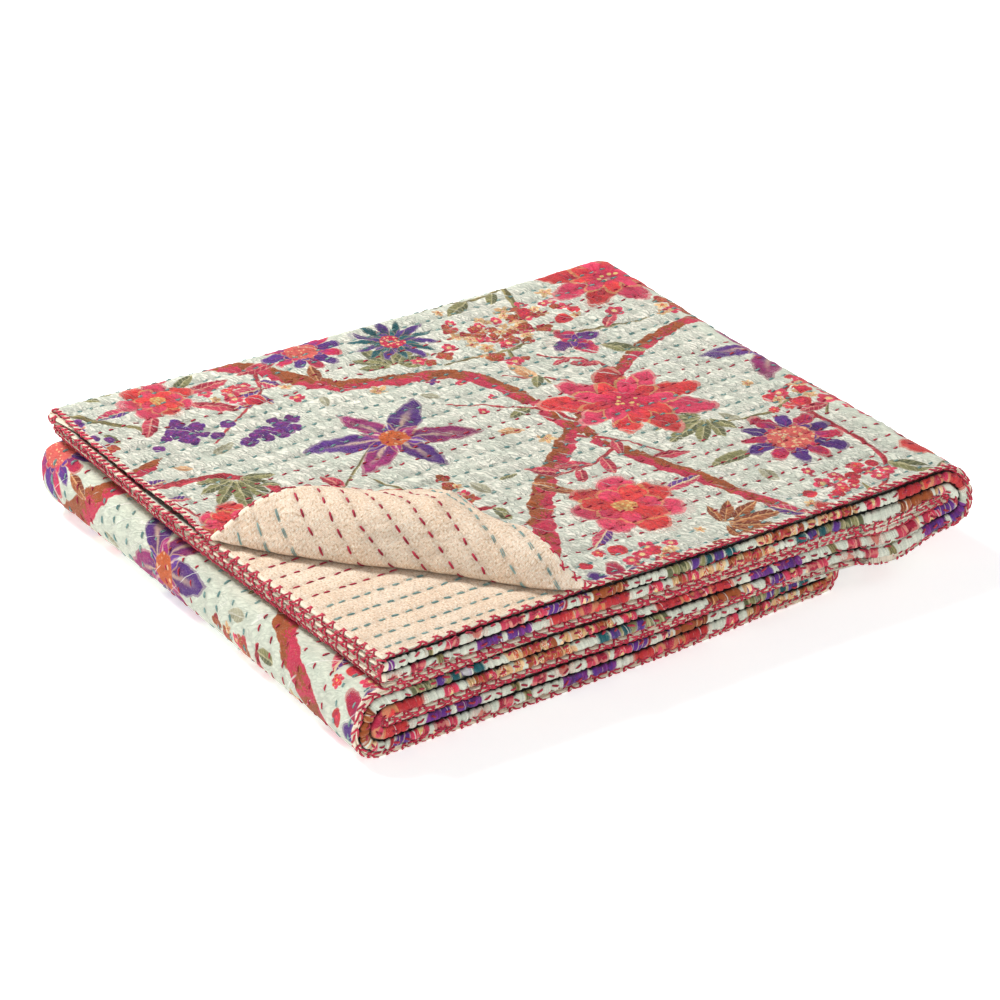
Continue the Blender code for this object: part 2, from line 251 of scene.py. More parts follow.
# %% Following a route
def stations(route):
    """Every distance along a route at which the cloth is cut into faces."""
    found = {0.0}
    for stretch in route:
        found.update((*stretch.cuts, stretch.end))
    return sorted(found)


def follow(route, distance):
    """Where each distance lies, and the direction that the printed face looks in, as (place, height) pairs."""
    place = np.zeros((len(distance), 2))
    facing = np.zeros((len(distance), 2))
    for s in route:
        here = ((distance >= s.start) | (s is route[0])) & ((distance <= s.end) | (s is route[-1]))
        d = distance[here] - s.start
        if s.radius:
            angle = d / s.radius
            place[here] = np.stack(
                [s.place + s.heading * s.radius * np.sin(angle), s.height - s.rise * s.radius * np.cos(angle)], 1
            )
            facing[here] = np.stack([-s.rise * np.sin(angle), s.heading * np.cos(angle)], 1)
        else:
            place[here] = np.stack([s.place + s.heading * d, np.full_like(d, s.height)], 1)
            facing[here] = (0.0, s.heading)
    return place, facing


print(f"flat quilt {QUILT_WIDTH:.3f} by {QUILT_LENGTH:.3f} m, {STACK_HEIGHT * 1000:.0f} mm high when folded")

# %% [markdown]
# ## The turned-back corner
#
# The top leaf's front corner is turned back and curls over, because two quilted cottons are too springy for a sharp
# crease. Its section is a small bend at the crease, a short rise, a large bend back and a drooping tip, and a table
# gives these at shares of the crease's length. The cloth beyond the crease is rolled along that section.

# %% Section of the curl
CREASE_BACK = 0.1785  # y where the crease meets the left-hand end
CREASE_RIGHT = 0.1565  # x where the crease meets the front edge
FIRST_BEND = math.radians(117)  # how far the cloth turns up at the crease itself
TIP_START = 0.090  # this far from the crease the corner's tip droops behind the curl
TIP_RADIUS = 0.012
TIP_END = math.radians(248)
CORNER_LIFT = 0.0010  # leaf A lies this much looser round the corner


class Curl(NamedTuple):
    """The corner's section at a share of the way along its crease."""

    share: float
    crease_out: float  # how far the crease bows towards the corner
    crease_radius: float
    rise: float  # the straight part above the crease
    back_radius: float
    back_slope: float  # the direction, in degrees, in which the cloth runs down behind
    fullness: float  # how much the puffed cloth stretches


CURLS = (
    Curl(0.00, 0.0000, 0.0030, 0.010, 0.026, 197, 1.3),
    Curl(0.10, 0.0045, 0.0035, 0.012, 0.024, 197, 1.5),
    Curl(0.22, 0.0090, 0.0040, 0.014, 0.022, 197, 1.3),
    Curl(0.40, 0.0125, 0.0040, 0.014, 0.020, 198, 1.0),
    Curl(0.50, 0.0112, 0.0040, 0.014, 0.021, 199, 1.0),
    Curl(0.57, 0.0115, 0.0040, 0.016, 0.022, 202, 1.0),
    Curl(0.63, 0.0120, 0.0040, 0.012, 0.022, 208, 1.0),
    Curl(0.70, 0.0135, 0.0040, 0.009, 0.020, 216, 1.0),
    Curl(0.82, 0.0160, 0.0040, 0.006, 0.020, 226, 1.2),
    Curl(0.90, 0.0150, 0.0035, 0.006, 0.018, 226, 1.5),
    Curl(0.96, 0.0080, 0.0030, 0.005, 0.016, 226, 1.5),
    Curl(1.00, 0.0000, 0.0030, 0.004, 0.014, 226, 1.2),
)

# %% Rolling the corner
CREASE_LENGTH = math.hypot(CREASE_RIGHT, CREASE_BACK)
CREASE_START = np.array([0.0, CREASE_BACK])
CREASE_WAY = np.array([CREASE_RIGHT, -CREASE_BACK]) / CREASE_LENGTH
CORNER_WAY = np.array([-CREASE_BACK, -CREASE_RIGHT]) / CREASE_LENGTH  # from the crease to the corner's tip


def curl_column(column, share):
    """One column of the table of curls at each share of the crease."""
    return np.interp(share, [c.share for c in CURLS], [getattr(c, column) for c in CURLS])


def curl_section(s, crease_radius, rise, back_radius, back_slope):
    """How far cloth that lies s beyond the crease reaches out and up, and the direction it runs in there."""
    first_length = crease_radius * FIRST_BEND
    back_length = back_radius * (back_slope - FIRST_BEND)
    flat_length = np.maximum(TIP_START - first_length - rise - back_length, 0.0)
    stretches = (
        (first_length, crease_radius),
        (rise, None),
        (back_length, back_radius),
        (flat_length, None),
        (TIP_RADIUS * (TIP_END - back_slope), TIP_RADIUS),
        (CREASE_LENGTH, None),
    )
    out, up, angle = np.zeros_like(s), np.zeros_like(s), np.zeros_like(s)
    for length, radius in stretches:
        here = np.minimum(s, length)
        s = s - here
        if radius is None:
            out = out + here * np.cos(angle)
            up = up + here * np.sin(angle)
        else:
            turned = angle + here / radius
            out = out + radius * (np.sin(turned) - np.sin(angle))
            up = up + radius * (np.cos(angle) - np.cos(turned))
            angle = turned
    return out, up, angle


def turn_corner(u, v, lift):
    """Leaf A beyond the crease, curled up and back: which points those are, their x and y, and their height."""
    from_start = np.stack([v, u], 1) - CREASE_START
    t = from_start @ CREASE_WAY
    share = t / CREASE_LENGTH
    bow = curl_column("crease_out", share)
    s = (from_start @ CORNER_WAY - bow) * curl_column("fullness", share)
    beyond = (s > 0) & (u < STACK_WIDTH) & (v < STACK_LENGTH)
    t, s, bow, share, lift = t[beyond], s[beyond], bow[beyond], share[beyond], lift[beyond]

    columns = [curl_column(name, share) for name in ("crease_radius", "rise", "back_radius", "back_slope")]
    out, up, angle = curl_section(s, *columns[:3], np.radians(columns[3]))
    out, up = bow + out - lift * np.sin(angle), up + lift * np.cos(angle)
    plan = CREASE_START + t[:, None] * CREASE_WAY + out[:, None] * CORNER_WAY
    return beyond, plan, up

# %% [markdown]
# ## How the stack lies
#
# Nobody folds a quilt to the millimetre. A second table says how far each strip's edges lie out of line, and gentle
# waves lift and lower the leaves together, more at the top than at the bottom. The same movement is given to every
# leaf at a place, so that none cuts through the next.

# %% Unevenness
class Lie(NamedTuple):
    """How far one strip's edges lie out of line."""

    level: int
    left_front: float
    left_middle: float  # on top of what its two ends give
    left_back: float
    right_front: float
    right_back: float
    front_left: float
    front_right: float


LIES = (
    Lie(1, 0.000, -0.004, -0.001, -0.006, -0.006, -0.004, -0.001),
    Lie(2, -0.001, -0.004, 0.004, -0.005, -0.006, -0.003, -0.002),
    Lie(3, 0.004, 0.001, 0.013, -0.002, -0.005, -0.003, -0.001),
    Lie(4, 0.006, 0.002, 0.017, 0.001, -0.004, -0.004, -0.002),
    Lie(5, 0.005, 0.003, 0.019, 0.000, -0.003, -0.002, -0.001),
    Lie(6, 0.003, 0.003, 0.020, 0.000, -0.003, -0.003, 0.000),
)
LEFT_PART = 0.159  # x where the left part of the stack ends
HALF_DEPTH = 0.180  # y in the middle of the stack
LOWER_DRAW_BACK = 0.008  # how far the two lowest strips' front edge is drawn in at the right
WAVE_HEIGHT = 0.0014
FRONT_DROOP = 0.0012
CORNER_RISE = 0.0035  # at the back left
RIGHT_HOLLOW = 0.003
RIGHT_SAG = 0.013  # how far the upper strips sag past the end of the lowest two
BACK_SKEW = 0.007

# %% Settling
def ease(value):
    """0 to 1, with a soft start and end."""
    value = np.clip(value, 0.0, 1.0)
    return value * value * (3 - 2 * value)


def settle(x, y, z):
    """The small unevenness of the stack as it lies, the same for every leaf at a place. The floor stays flat."""
    level = STRIPS_IN_STACK + 0.5 - z / STRIP_PITCH
    levels = [lie.level for lie in LIES]

    def lie(column):
        return np.interp(level, levels, [getattr(row, column) for row in LIES])

    right = np.clip(x / STACK_LENGTH, 0.0, 1.0)
    back = np.clip(y / STACK_WIDTH, 0.0, 1.0)
    height = z / STACK_HEIGHT

    left_end = lie("left_front") + (lie("left_back") - lie("left_front")) * back
    right_end = lie("right_front") + (lie("right_back") - lie("right_front")) * back
    left_end = left_end + lie("left_middle") * np.sin(math.pi * back)
    new_x = x + left_end * (1 - right) + (right_end - RIGHT_HOLLOW * np.sin(math.pi * back)) * right

    front_edge = lie("front_left") + (lie("front_right") - lie("front_left")) * right
    drawn_back = LOWER_DRAW_BACK * ease((x - LEFT_PART) / (LOWER_RIGHT_TURN - LEFT_PART))
    front_edge = front_edge + np.where(z < 2 * STRIP_PITCH - FLOOR_AIR, drawn_back, 0.0)
    new_y = y + front_edge * (1 - back) - BACK_SKEW * back * ease(right)

    wave = np.sin(2 * math.pi * (1.15 * right + 0.45 * back)) * np.cos(2 * math.pi * (0.85 * back - 0.2 * right))
    rise = CORNER_RISE * ease(1 - x / LEFT_PART) * ease((y - HALF_DEPTH) / HALF_DEPTH)
    droop = FRONT_DROOP * (1 - ease(y / (HALF_DEPTH / 2)))
    sag_place = np.clip((x - LOWER_RIGHT_TURN) / (STACK_LENGTH - LOWER_RIGHT_TURN), 0.0, 1.0)
    sag = RIGHT_SAG * np.sin(math.pi * sag_place) ** 2 * np.clip(1 - height, 0.0, 1.0)
    new_z = z + height * (WAVE_HEIGHT * wave + rise - droop) - np.where(z > 2 * STRIP_PITCH - FLOOR_AIR, sag, 0.0)
    return new_x, new_y, new_z

# %% [markdown]
# ## What the stitches do to the cloth
#
# A washed kantha is never flat. Each row of running stitches pulls a shallow valley, each stitch sits in a dimple of
# its own, and the cloth between two rows shrinks into short ridges that run across them. On the folds at the front
# the same puckers stand like a row of beads. All of this could be a bump in the material, but at the edge of the
# stack and under low light only real relief holds up, so it goes into the points of the mesh, and only what is
# finer than a millimetre is left to the material.
#
# The relief needs noise that gives the same result on every run. Whole-numbered places get a number each, and
# the noise blends smoothly between them.

# %% Noise
def place_number(i, j, seed):
    """A number between -1 and 1 for each whole-numbered place."""
    value = np.sin(i * 127.1 + j * 311.7 + seed * 74.7) * 43758.5453
    return 2 * (value - np.floor(value)) - 1


def noise(x, y, seed):
    """Smooth bumps between -1 and 1, one to a unit."""
    i, j = np.floor(x), np.floor(y)
    a, b = x - i, y - j
    a, b = a * a * (3 - 2 * a), b * b * (3 - 2 * b)
    near = place_number(i, j, seed) * (1 - a) + place_number(i + 1, j, seed) * a
    far = place_number(i, j + 1, seed) * (1 - a) + place_number(i + 1, j + 1, seed) * a
    return near * (1 - b) + far * b


def line_noise(x, seed):
    """Smooth bumps between -1 and 1 along a line."""
    return noise(x, x * 0.0, seed)


def bell(distance, width):
    """1 at no distance, and close to 0 beyond two widths."""
    return np.exp(-((distance / width) ** 2))


print("noise at three places", np.round(noise(np.array([0.2, 1.7, 5.5]), np.array([0.5, 0.5, 9.1]), 1), 3))

# %% Rows of quilting
FIRST_ROW = 0.0075  # from the sewn edge
ROW_SPACING = 0.0148
STITCH_PITCH = 0.0091
ROW_WANDER = 1.3 * MM
ROWS = int((QUILT_WIDTH - 2 * FIRST_ROW) / ROW_SPACING) + 1


def row_place(row, v):
    """How far from the sewn edge a row runs. A hand never keeps it quite straight, and the middle rows have slipped."""
    slipped = 0.85 * (ease((row - 30) / 8) - ease((row - 56) / 8))
    return FIRST_ROW + (row + slipped) * ROW_SPACING + ROW_WANDER * noise(v / 0.055, row * 3.7, 11)


def stitch_place(row, number):
    """How far along its row the middle of a stitch on the printed side lies."""
    return (number + 0.5 + 0.45 * place_number(row, 0.0, 21) + 0.13 * place_number(row, number, 22)) * STITCH_PITCH


def nearest_stitch(u, v):
    """The distance across and along from each point to the nearest stitch on the printed side."""
    row = np.clip(np.round((u - FIRST_ROW) / ROW_SPACING), 0, ROWS - 1)
    number = np.round(v / STITCH_PITCH - 0.5 - 0.45 * place_number(row, 0.0, 21))
    return u - row_place(row, v), v - stitch_place(row, number)


print(ROWS, "rows", ROW_SPACING / MM, "mm apart, a stitch every", STITCH_PITCH / MM, "mm")

# %% Puckers of the printed cloth
PUFF = 0.52 * MM
RIDGE = 0.52 * MM
CRINKLE = 0.36 * MM
RIDGE_TILT = 0.36  # the ridges cross the rows aslant


def ridges(u, v, spacing, length, seed):
    """Short sharp ridges that cross the rows, between -1 and 1."""
    along = v + RIDGE_TILT * u + 1.6 * MM * noise(v / 0.013, u / 0.013, seed + 5)
    return 1 - 2.4 * np.abs(noise(along / spacing, u / length, seed))


def printed_puckers(u, v):
    """How high the printed cloth stands above a flat one."""
    across, along = nearest_stitch(u, v)
    valley = bell(across, 2.9 * MM)
    dimple = bell(across, 1.9 * MM) * bell(along, 2.6 * MM)
    fullness = 0.75 + 0.65 * noise(v / 0.019, u / 0.013, 31)
    height = PUFF * fullness * (1 - valley) - 0.10 * MM * valley - 0.70 * MM * dimple
    height = height + RIDGE * (1 - 0.35 * valley) * ridges(u, v, 5.0 * MM, 12 * MM, 41)
    return height + CRINKLE * ridges(u, v, 2.3 * MM, 6 * MM, 51)


# %% Puckers of the backing
def backing_puckers(u, v):
    """How far the backing stands out, on the side away from the print. Its stitches lie between the others."""
    across, along = nearest_stitch(u, v)
    between = STITCH_PITCH / 2 - np.abs(along)
    valley = bell(across, 2.6 * MM)
    dimple = bell(across, 1.5 * MM) * bell(between, 3.2 * MM)
    height = 0.42 * MM * (1 - valley) - 0.12 * MM * valley - 0.22 * MM * dimple
    height = height + 0.22 * MM * ridges(u, v, 5.2 * MM, 13 * MM, 61)
    return height + 0.25 * MM * noise(u / 0.016, v / 0.02, 71) + 0.07 * MM * ridges(u, v, 2.4 * MM, 5 * MM, 81)


sample = np.random.default_rng(1).uniform(0.0, 0.35, (2, 4000))
print("printed side stands", np.round(printed_puckers(*sample).min() / MM, 2), "to",
      np.round(printed_puckers(*sample).max() / MM, 2), "mm")

# %% [markdown]
# ## The sewn edge
#
# Both cloths are turned in at the edge and whipped together, so the edge is a soft rounded lip that each stitch
# pinches. Seen along the stack, the two leaves with sewn edges are pressed thin, and the fold below them, which is
# fuller, takes the room. The edge stitches are placed first, because the pinches have to lie under them.

# %% Edge stitches and pinches
EDGE_PITCH = 0.0104
LIP = 2.6 * MM  # how far in the lip begins to round off


def edge_stitch_place(side, number):
    """Where along a side of the quilt an edge stitch crosses over the edge."""
    return (number + 0.5 + 0.16 * place_number(side, number, 91)) * EDGE_PITCH


def edge_pinch(u, v):
    """How hard the edge stitches pull at each point, from 0 to 1, how far the nearest edge is, and which it is."""
    gaps = np.stack([u, QUILT_WIDTH - u, v, QUILT_LENGTH - v])
    side = np.argmin(gaps, axis=0)
    along = np.where(side < 2, v, u)
    number = np.round(along / EDGE_PITCH - 0.5)
    pull = bell(along - edge_stitch_place(side, number), 1.9 * MM)
    return pull, gaps.min(axis=0), side


# %% Rounding and drawing in the edge
def lip_shape(edge_gap, pull):
    """The share of its lift that the cloth keeps at a distance from the edge."""
    inward = np.clip(edge_gap / LIP, 0.0, 1.0)
    rounded = np.sqrt(np.clip(1 - (1 - inward) ** 2, 0.0, 1.0))
    puffed = 0.28 * bell(edge_gap - 2.0 * MM, 1.5 * MM)
    return 0.22 + 0.78 * rounded * (1 - 0.30 * pull * bell(edge_gap, 2.4 * MM)) + puffed * (1 - pull)


def draw_in(gap, along, pull, seed, recess=0.0):
    """How far the stitches draw an edge in, and how far it wanders or lies back behind its neighbours."""
    wander = 1.3 * MM * (0.5 + 0.5 * line_noise(along / 0.046, seed)) + recess
    return wander * (1 - ease(gap / 0.030)) + 0.75 * MM * pull * (1 - ease(gap / 0.005))


print("an edge stitch every", EDGE_PITCH / MM, "mm round", round(2 * (QUILT_WIDTH + QUILT_LENGTH), 2), "m of edge")

# %% [markdown]
# ## Laying the cloth
#
# This carries any point of the flat cloth to its place in the stack. Everything that lies on the quilt, the two
# cloths and every stitch, goes through it, so that the stitches stay on the cloth whatever is changed above.

# %% The front of the stack
FRONT_DEPTH = 0.045  # how far in from the front the leaves are pressed
SEWN_SHARE = 0.62  # what is left of the height of the two leaves with sewn edges


def press_front(height, nearness):
    """Moves a height in the strip's section, so that the two sewn leaves lie thinner and the fold fuller."""
    half = 2 * LEAF_PITCH
    sewn = half - (half - height) * SEWN_SHARE
    fold = (height + half) * (2 - SEWN_SHARE) - half
    return height + (np.where(height > 0, sewn, fold) - height) * nearness


# %% Lay
def lay(u, v, lift):
    """Carries points of the flat quilt, lift above its middle on the printed side, to where they lie folded."""
    section, section_facing = follow(ACROSS, u)
    section = section + lift[:, None] * section_facing
    corner = (u < STACK_WIDTH) & (v < STACK_LENGTH)
    past_crease = (np.stack([v, u], 1) - CREASE_START) @ CORNER_WAY
    nearness = 1 - ease(section[:, 0] / FRONT_DEPTH)
    nearness = nearness * np.where(corner, ease(-past_crease / 0.030), 1.0)
    height = press_front(section[:, 1], nearness)

    route, route_facing = follow(ALONG, v)
    x = route[:, 0] + height * route_facing[:, 0]
    y = section[:, 0].copy()
    z = route[:, 1] + height * route_facing[:, 1] + STACK_HEIGHT / 2 - FLOOR_AIR

    loose = CORNER_LIFT * (1 - ease((np.hypot(u, v) - CREASE_BACK) / (HALF_DEPTH / 2)))
    z = z + np.where(corner, loose, 0.0)
    beyond, plan, up = turn_corner(u, v, lift)
    x[beyond], y[beyond] = plan.T
    z[beyond] = z[beyond] - lift[beyond] + up

    x, y, z = settle(x, y, z)
    z = np.maximum(z, 0.0)  # what is pressed against the floor lies flat on it
    return np.stack([x - STACK_MIDDLE[0], y - STACK_MIDDLE[1], z], 1)

# %% [markdown]
# ## Where the relief shows
#
# The leaves inside the stack lie a third of a millimetre apart, so they stay smooth. Relief goes only where the
# cloth is free: the top leaf, the turned-back corner and what it uncovers, the turns at both ends and the folds at
# the front. A few named zones, each from 0 to 1, say where that is, and the same zones later decide where the mesh
# is cut finely.

# %% Turns of the two routes, and leaves by name
BACK_TURN, FRONT_FOLD, HIDDEN_TURN = (s for s in ACROSS if s.radius)
RIGHT_TURN, _, LOWER_RIGHT, LEFT_TURN_OVER, _ = (s for s in ALONG if s.radius)


def near_stretch(distance, stretch, margin):
    """1 on a stretch of a route, fading to 0 a margin away from it."""
    outside = np.maximum(np.maximum(stretch.start - distance, distance - stretch.end), 0.0)
    return 1 - ease(outside / margin)


def on_leaf_a(u, v, margin=0.0):
    """Whether a point lies on the top leaf, or within a margin of it."""
    return (u < STACK_WIDTH + margin) & (v < STACK_LENGTH + margin)


def on_corner_leaf(u, v):
    """Whether a point lies on leaf A, whose corner is turned back, or on leaf B below it."""
    return ((u < STACK_WIDTH) | (u > QUILT_WIDTH - STACK_WIDTH)) & (v < STACK_LENGTH)


def past_crease_of(u, v):
    """How far a point of leaf A, or of leaf B below it, lies beyond the crease of the turned corner."""
    across = np.minimum(u, QUILT_WIDTH - u)
    start = np.stack([v, across], 1) - CREASE_START
    share = start @ CREASE_WAY / CREASE_LENGTH
    return start @ CORNER_WAY - curl_column("crease_out", share)


print("front folds at", round(FRONT_FOLD.start, 3), "to", round(FRONT_FOLD.end, 3), "m across")

# %% Zones
FREE_MARGIN = 0.002


def printed_zones(u, v):
    """Where the printed cloth is free to pucker, and where it is a front fold."""
    leaf_a = 1 - ease((u - STACK_WIDTH) / 0.004)
    ends = np.maximum(0.7 * near_stretch(v, RIGHT_TURN, 0.012), 0.40 * near_stretch(v, LEFT_TURN_OVER, 0.012))
    ends = np.maximum(ends, 0.7 * near_stretch(v, LOWER_RIGHT, 0.010))
    back = near_stretch(u, BACK_TURN, 0.003)
    free = np.maximum(on_leaf_a(u, v, FREE_MARGIN) * 1.0, np.maximum(leaf_a * ends, 0.55 * back))
    return free, near_stretch(u, FRONT_FOLD, 0.004)


def backing_zones(u, v):
    """Where the backing is free to pucker: on the turned-back corner and on leaf B below it."""
    return np.where(on_corner_leaf(u, v), ease((past_crease_of(u, v) + 0.004) / 0.010), 0.0)


def crinkle_share(u, v):
    """How strongly the finest creases show: fully on the flat top, less where a turn stretches the cloth."""
    round_turn = np.maximum(near_stretch(v, RIGHT_TURN, 0.006), 1.25 * near_stretch(v, LEFT_TURN_OVER, 0.030))
    round_fold_too = np.maximum(near_stretch(u, BACK_TURN, 0.003), near_stretch(u, FRONT_FOLD, 0.006))
    return 1 - 0.6 * np.maximum(round_turn, round_fold_too)


def on_flap(u, v):
    """1 on the turned-back corner, where the edge is sewn straighter."""
    return np.where(on_leaf_a(u, v), ease((past_crease_of(u, v) + 0.010) / 0.020), 0.0)


# %% Beads on the front folds
BEAD = 0.0056  # from one pull to the next
GROOVE_WIDTH = 0.85 * MM
SLANT_LENGTH = 2.5


def round_fold(u):
    """How far round a front fold a point is: 1 at its outermost line, 0 where it meets its neighbours."""
    return np.sin(np.pi * np.clip((u - FRONT_FOLD.start) / (FRONT_FOLD.end - FRONT_FOLD.start), 0.0, 1.0))


def fold_beads(u, v):
    """The puckers of a front fold: round between two pulls, sharp at them, and drawn back where two folds meet."""
    step = v / BEAD + 0.55 * line_noise(v / 0.019, 101)
    to_pull = np.abs(step - np.floor(step) - 0.5) * BEAD
    groove = bell(to_pull, GROOVE_WIDTH) * (0.50 + 0.55 * noise(np.floor(step) * 1.7, u * 0.0 + 0.3, 102))
    slant = noise(v / SLANT_LENGTH / MM + 160 * u, u / 0.004, 103)
    swell = 1.25 * round_fold(u) - 0.70 * (1 - round_fold(u)) + 0.40 * line_noise(v / 0.035, 104)
    return MM * (swell - 1.55 * groove + 0.30 * slant)


# %% Lifting both cloths
HEM_LINE = 5.2 * MM  # in from the edge, where the turned-in hem ends and the cloth dips


def pinch_at(u, v):
    """The pinch of the edge stitches, which is slight on the turned-back corner."""
    pull, gap, side = edge_pinch(u, v)
    return pull * (1 - 0.8 * on_flap(u, v)), gap, side


def thin_edge(gap):
    """The share of its lift that the hidden side of a cloth keeps at a distance from the edge."""
    return np.clip(0.35 + gap / LIP, 0.35, 1.0)


def printed_lift(u, v, lift):
    """The lift of the printed cloth's points, with its relief."""
    free, fold = printed_zones(u, v)
    seen = lift > CLOTH_GAP
    relief = free * (1 - fold) * printed_puckers(u, v) + fold * fold_beads(u, v)
    pull, gap, _ = pinch_at(u, v)
    relief = relief * ease(gap / 0.007) - 0.25 * MM * bell(gap - HEM_LINE, 1.6 * MM)
    return np.where(seen, (lift + relief) * lip_shape(gap, pull), lift * thin_edge(gap))


def backing_lift(u, v, lift):
    """The lift of the backing's points, with its relief, which stands out the other way."""
    seen = lift < -CLOTH_GAP
    pull, gap, _ = pinch_at(u, v)
    relief = backing_zones(u, v) * backing_puckers(u, v) * ease(gap / 0.006)
    relief = relief - 0.15 * MM * bell(gap - HEM_LINE, 1.8 * MM)
    return np.where(seen, (lift - relief) * lip_shape(gap, pull), lift * thin_edge(gap))


# %% How far the edges lie back
def stretch_of(distance, start, start_fade, end, end_fade):
    """1 between two places of a route, fading in and out."""
    return ease((distance - start) / start_fade) - ease((distance - end) / end_fade)


def drawn_in(u, v):
    """The flat place of each point once the stitches have drawn the edges in."""
    pull, _, side = pinch_at(u, v)
    new_u = u + draw_in(u, v, pull * (side == 0), 111)
    left_of_flap = stretch_of(v, 0.10, 0.05, STACK_LENGTH, 0.02)
    here_and_there = np.clip(line_noise(v / 0.09, 115) - 0.1, 0.0, 0.9)
    behind = 3.2 * MM * np.maximum(left_of_flap, here_and_there)
    new_u = new_u - draw_in(QUILT_WIDTH - u, v, pull * (side == 1), 112, behind)
    leaf_b = stretch_of(u, HIDDEN_TURN.end + 0.004, 0.02, QUILT_WIDTH - 0.205, 0.03)
    leaf_a = stretch_of(u, 0.180, 0.03, STACK_WIDTH, 0.01) * (1 + 0.35 * line_noise(u / 0.045, 116))
    new_v = v + draw_in(v, u, pull * (side == 2), 113, 11.0 * MM * leaf_b + 3.1 * MM * leaf_a)
    new_v = new_v - draw_in(QUILT_LENGTH - v, u, pull * (side == 3), 114)
    return new_u, new_v


def place_cloth(u, v, lift, lifter):
    """Where points of a cloth lie, with all that the stitches do to them."""
    new_u, new_v = drawn_in(u, v)
    return lay(new_u, new_v, lifter(u, v, lift))


# %% [markdown]
# ## The two cloths
#
# Each cloth is a closed slab a millimetre thick. It starts as a flat grid with a line at every turn, and is extruded
# to its thickness. The seen side is then cut where detail is wanted: an edge longer than the size that its zone asks
# for is halved, again and again, which leaves the hidden leaves as a few large faces. Only then are the points
# carried to their places.

# %% How finely each zone is cut
FLAT_STAND = 0.3 * MM  # the height at which the material's shade is even
FINE = {"top": 1.5, "corner": 1.1, "fold": 1.15, "edge": 1.05, "turn": 3.1, "hidden": 80.0}  # in millimetres
EDGE_STRIP = 3.2 * MM


def sized(zones):
    """The sizes across and along at each point: the smallest of its zones. A zone has one size, or one each way."""
    sizes = np.full((2, len(zones[0][0])), FINE["hidden"])
    for zone, size in zones:
        sizes[:, zone] = np.minimum(sizes[:, zone], np.reshape(size, (-1, 1)))
    return sizes


def edge_zones(u, v, seen):
    """The zones along the sewn edges, small across the edge and larger along it. The last end lies inside."""
    gaps = (u, QUILT_WIDTH - u, v, QUILT_LENGTH - v)
    sizes = ((FINE["edge"], 2.1), (FINE["edge"], 2.1), (2.1, FINE["edge"]), (6.0, 2.6))
    return [(seen & (gap < EDGE_STRIP), size) for gap, size in zip(gaps, sizes)]


def printed_cells(u, v, seen):
    """How large the printed cloth's faces may be, across and along, at each point."""
    top = seen & on_leaf_a(u, v, FREE_MARGIN)
    past = past_crease_of(u, v)
    under_flap = top & (past > 0.010)
    leaf_a = seen & (u < STACK_WIDTH)
    ends = (near_stretch(v, RIGHT_TURN, 0.010) > 0) | (near_stretch(v, LEFT_TURN_OVER, 0.010) > 0)
    return sized([
        (top & ~under_flap, FINE["top"]),
        (under_flap, 9.0),
        (seen & (near_stretch(u, FRONT_FOLD, 0.0008) > 0), (1.0, FINE["fold"])),
        (seen & (near_stretch(u, BACK_TURN, 0.002) > 0), 5.0),
        (leaf_a & ends, FINE["turn"]),
        (leaf_a & (near_stretch(v, LOWER_RIGHT, 0.010) > 0), 5.0),
        (leaf_a & (v > QUILT_LENGTH - STACK_LENGTH), 18.0),
        (~seen & (past > -0.012) & on_leaf_a(u, v), 7.0),
        *edge_zones(u, v, seen),
    ])


def backing_cells(u, v, seen):
    """How large the backing's faces may be, across and along, at each point."""
    past = past_crease_of(u, v)
    return sized([
        (seen & on_corner_leaf(u, v) & (past > -0.006), FINE["corner"]),
        (~seen & on_leaf_a(u, v) & (past > -0.012), 6.0),
        *edge_zones(u, v, seen),
    ])


# %% Cutting
CUT_FROM = 1.5  # an edge is halved when it is this many times its size


def cut_finer(bm, cells, seen_level):
    """Halves every edge that is longer than its zone allows, until none is."""
    while True:
        bm.edges.ensure_lookup_table()
        ends = np.array([(*e.verts[0].co, *e.verts[1].co) for e in bm.edges])
        first, second = ends[:, :3], ends[:, 3:]
        seen = (np.abs(first[:, 2] - seen_level) < 1e-5) & (np.abs(second[:, 2] - seen_level) < 1e-5)
        across, along = np.abs(second - first)[:, :2].T / MM
        longest = np.zeros(len(ends))
        for place in (first, second, (first + second) / 2):
            size_u, size_v = cells(place[:, 0], place[:, 1], seen)
            longest = np.maximum(longest, np.hypot(across / size_u, along / size_v))
        long_edges = np.nonzero(longest > CUT_FROM)[0]
        if not len(long_edges):
            return
        bmesh.ops.subdivide_edges(bm, edges=[bm.edges[i] for i in long_edges], cuts=1, use_grid_fill=True)


# %% What the material wants to know of each point
def cloth_marks(u, v, lift, lifter):
    """The attributes of a cloth's points by name: relief and distance to the edge in millimetres, and two shares:
    painted shade in the slits and the gap at the left end, and how strongly the creases show.
    """
    gap = edge_pinch(u, v)[1]
    stands = np.abs(lifter(u, v, lift)) - np.abs(lift)
    # near the sewn edge the relief is evened out, so that no painted shade falls on the lip
    stands = FLAT_STAND + (stands - FLAT_STAND) * ease(gap / 0.006)
    # painted shade: darkens the slits where two front folds meet
    painted_slit_shade = near_stretch(u, FRONT_FOLD, 0.004) * (1 - round_fold(u))
    third_leaf = (u > FRONT_FOLD.end + 0.02) & (u < HIDDEN_TURN.start) & (v < STACK_LENGTH / 2)
    # painted shadow in the gap at the left end, on the third leaf below the top leaf's edge
    painted_slit_shade = np.where(third_leaf, 0.64 * ease((v - 0.0024) / 0.0018), painted_slit_shade)  # it lies in the gap at the left end
    return {
        "relief": stands / MM, "edge_gap": np.minimum(gap / MM, 30.0), "painted_slit_shade": painted_slit_shade, "crinkle": crinkle_share(u, v),
    }


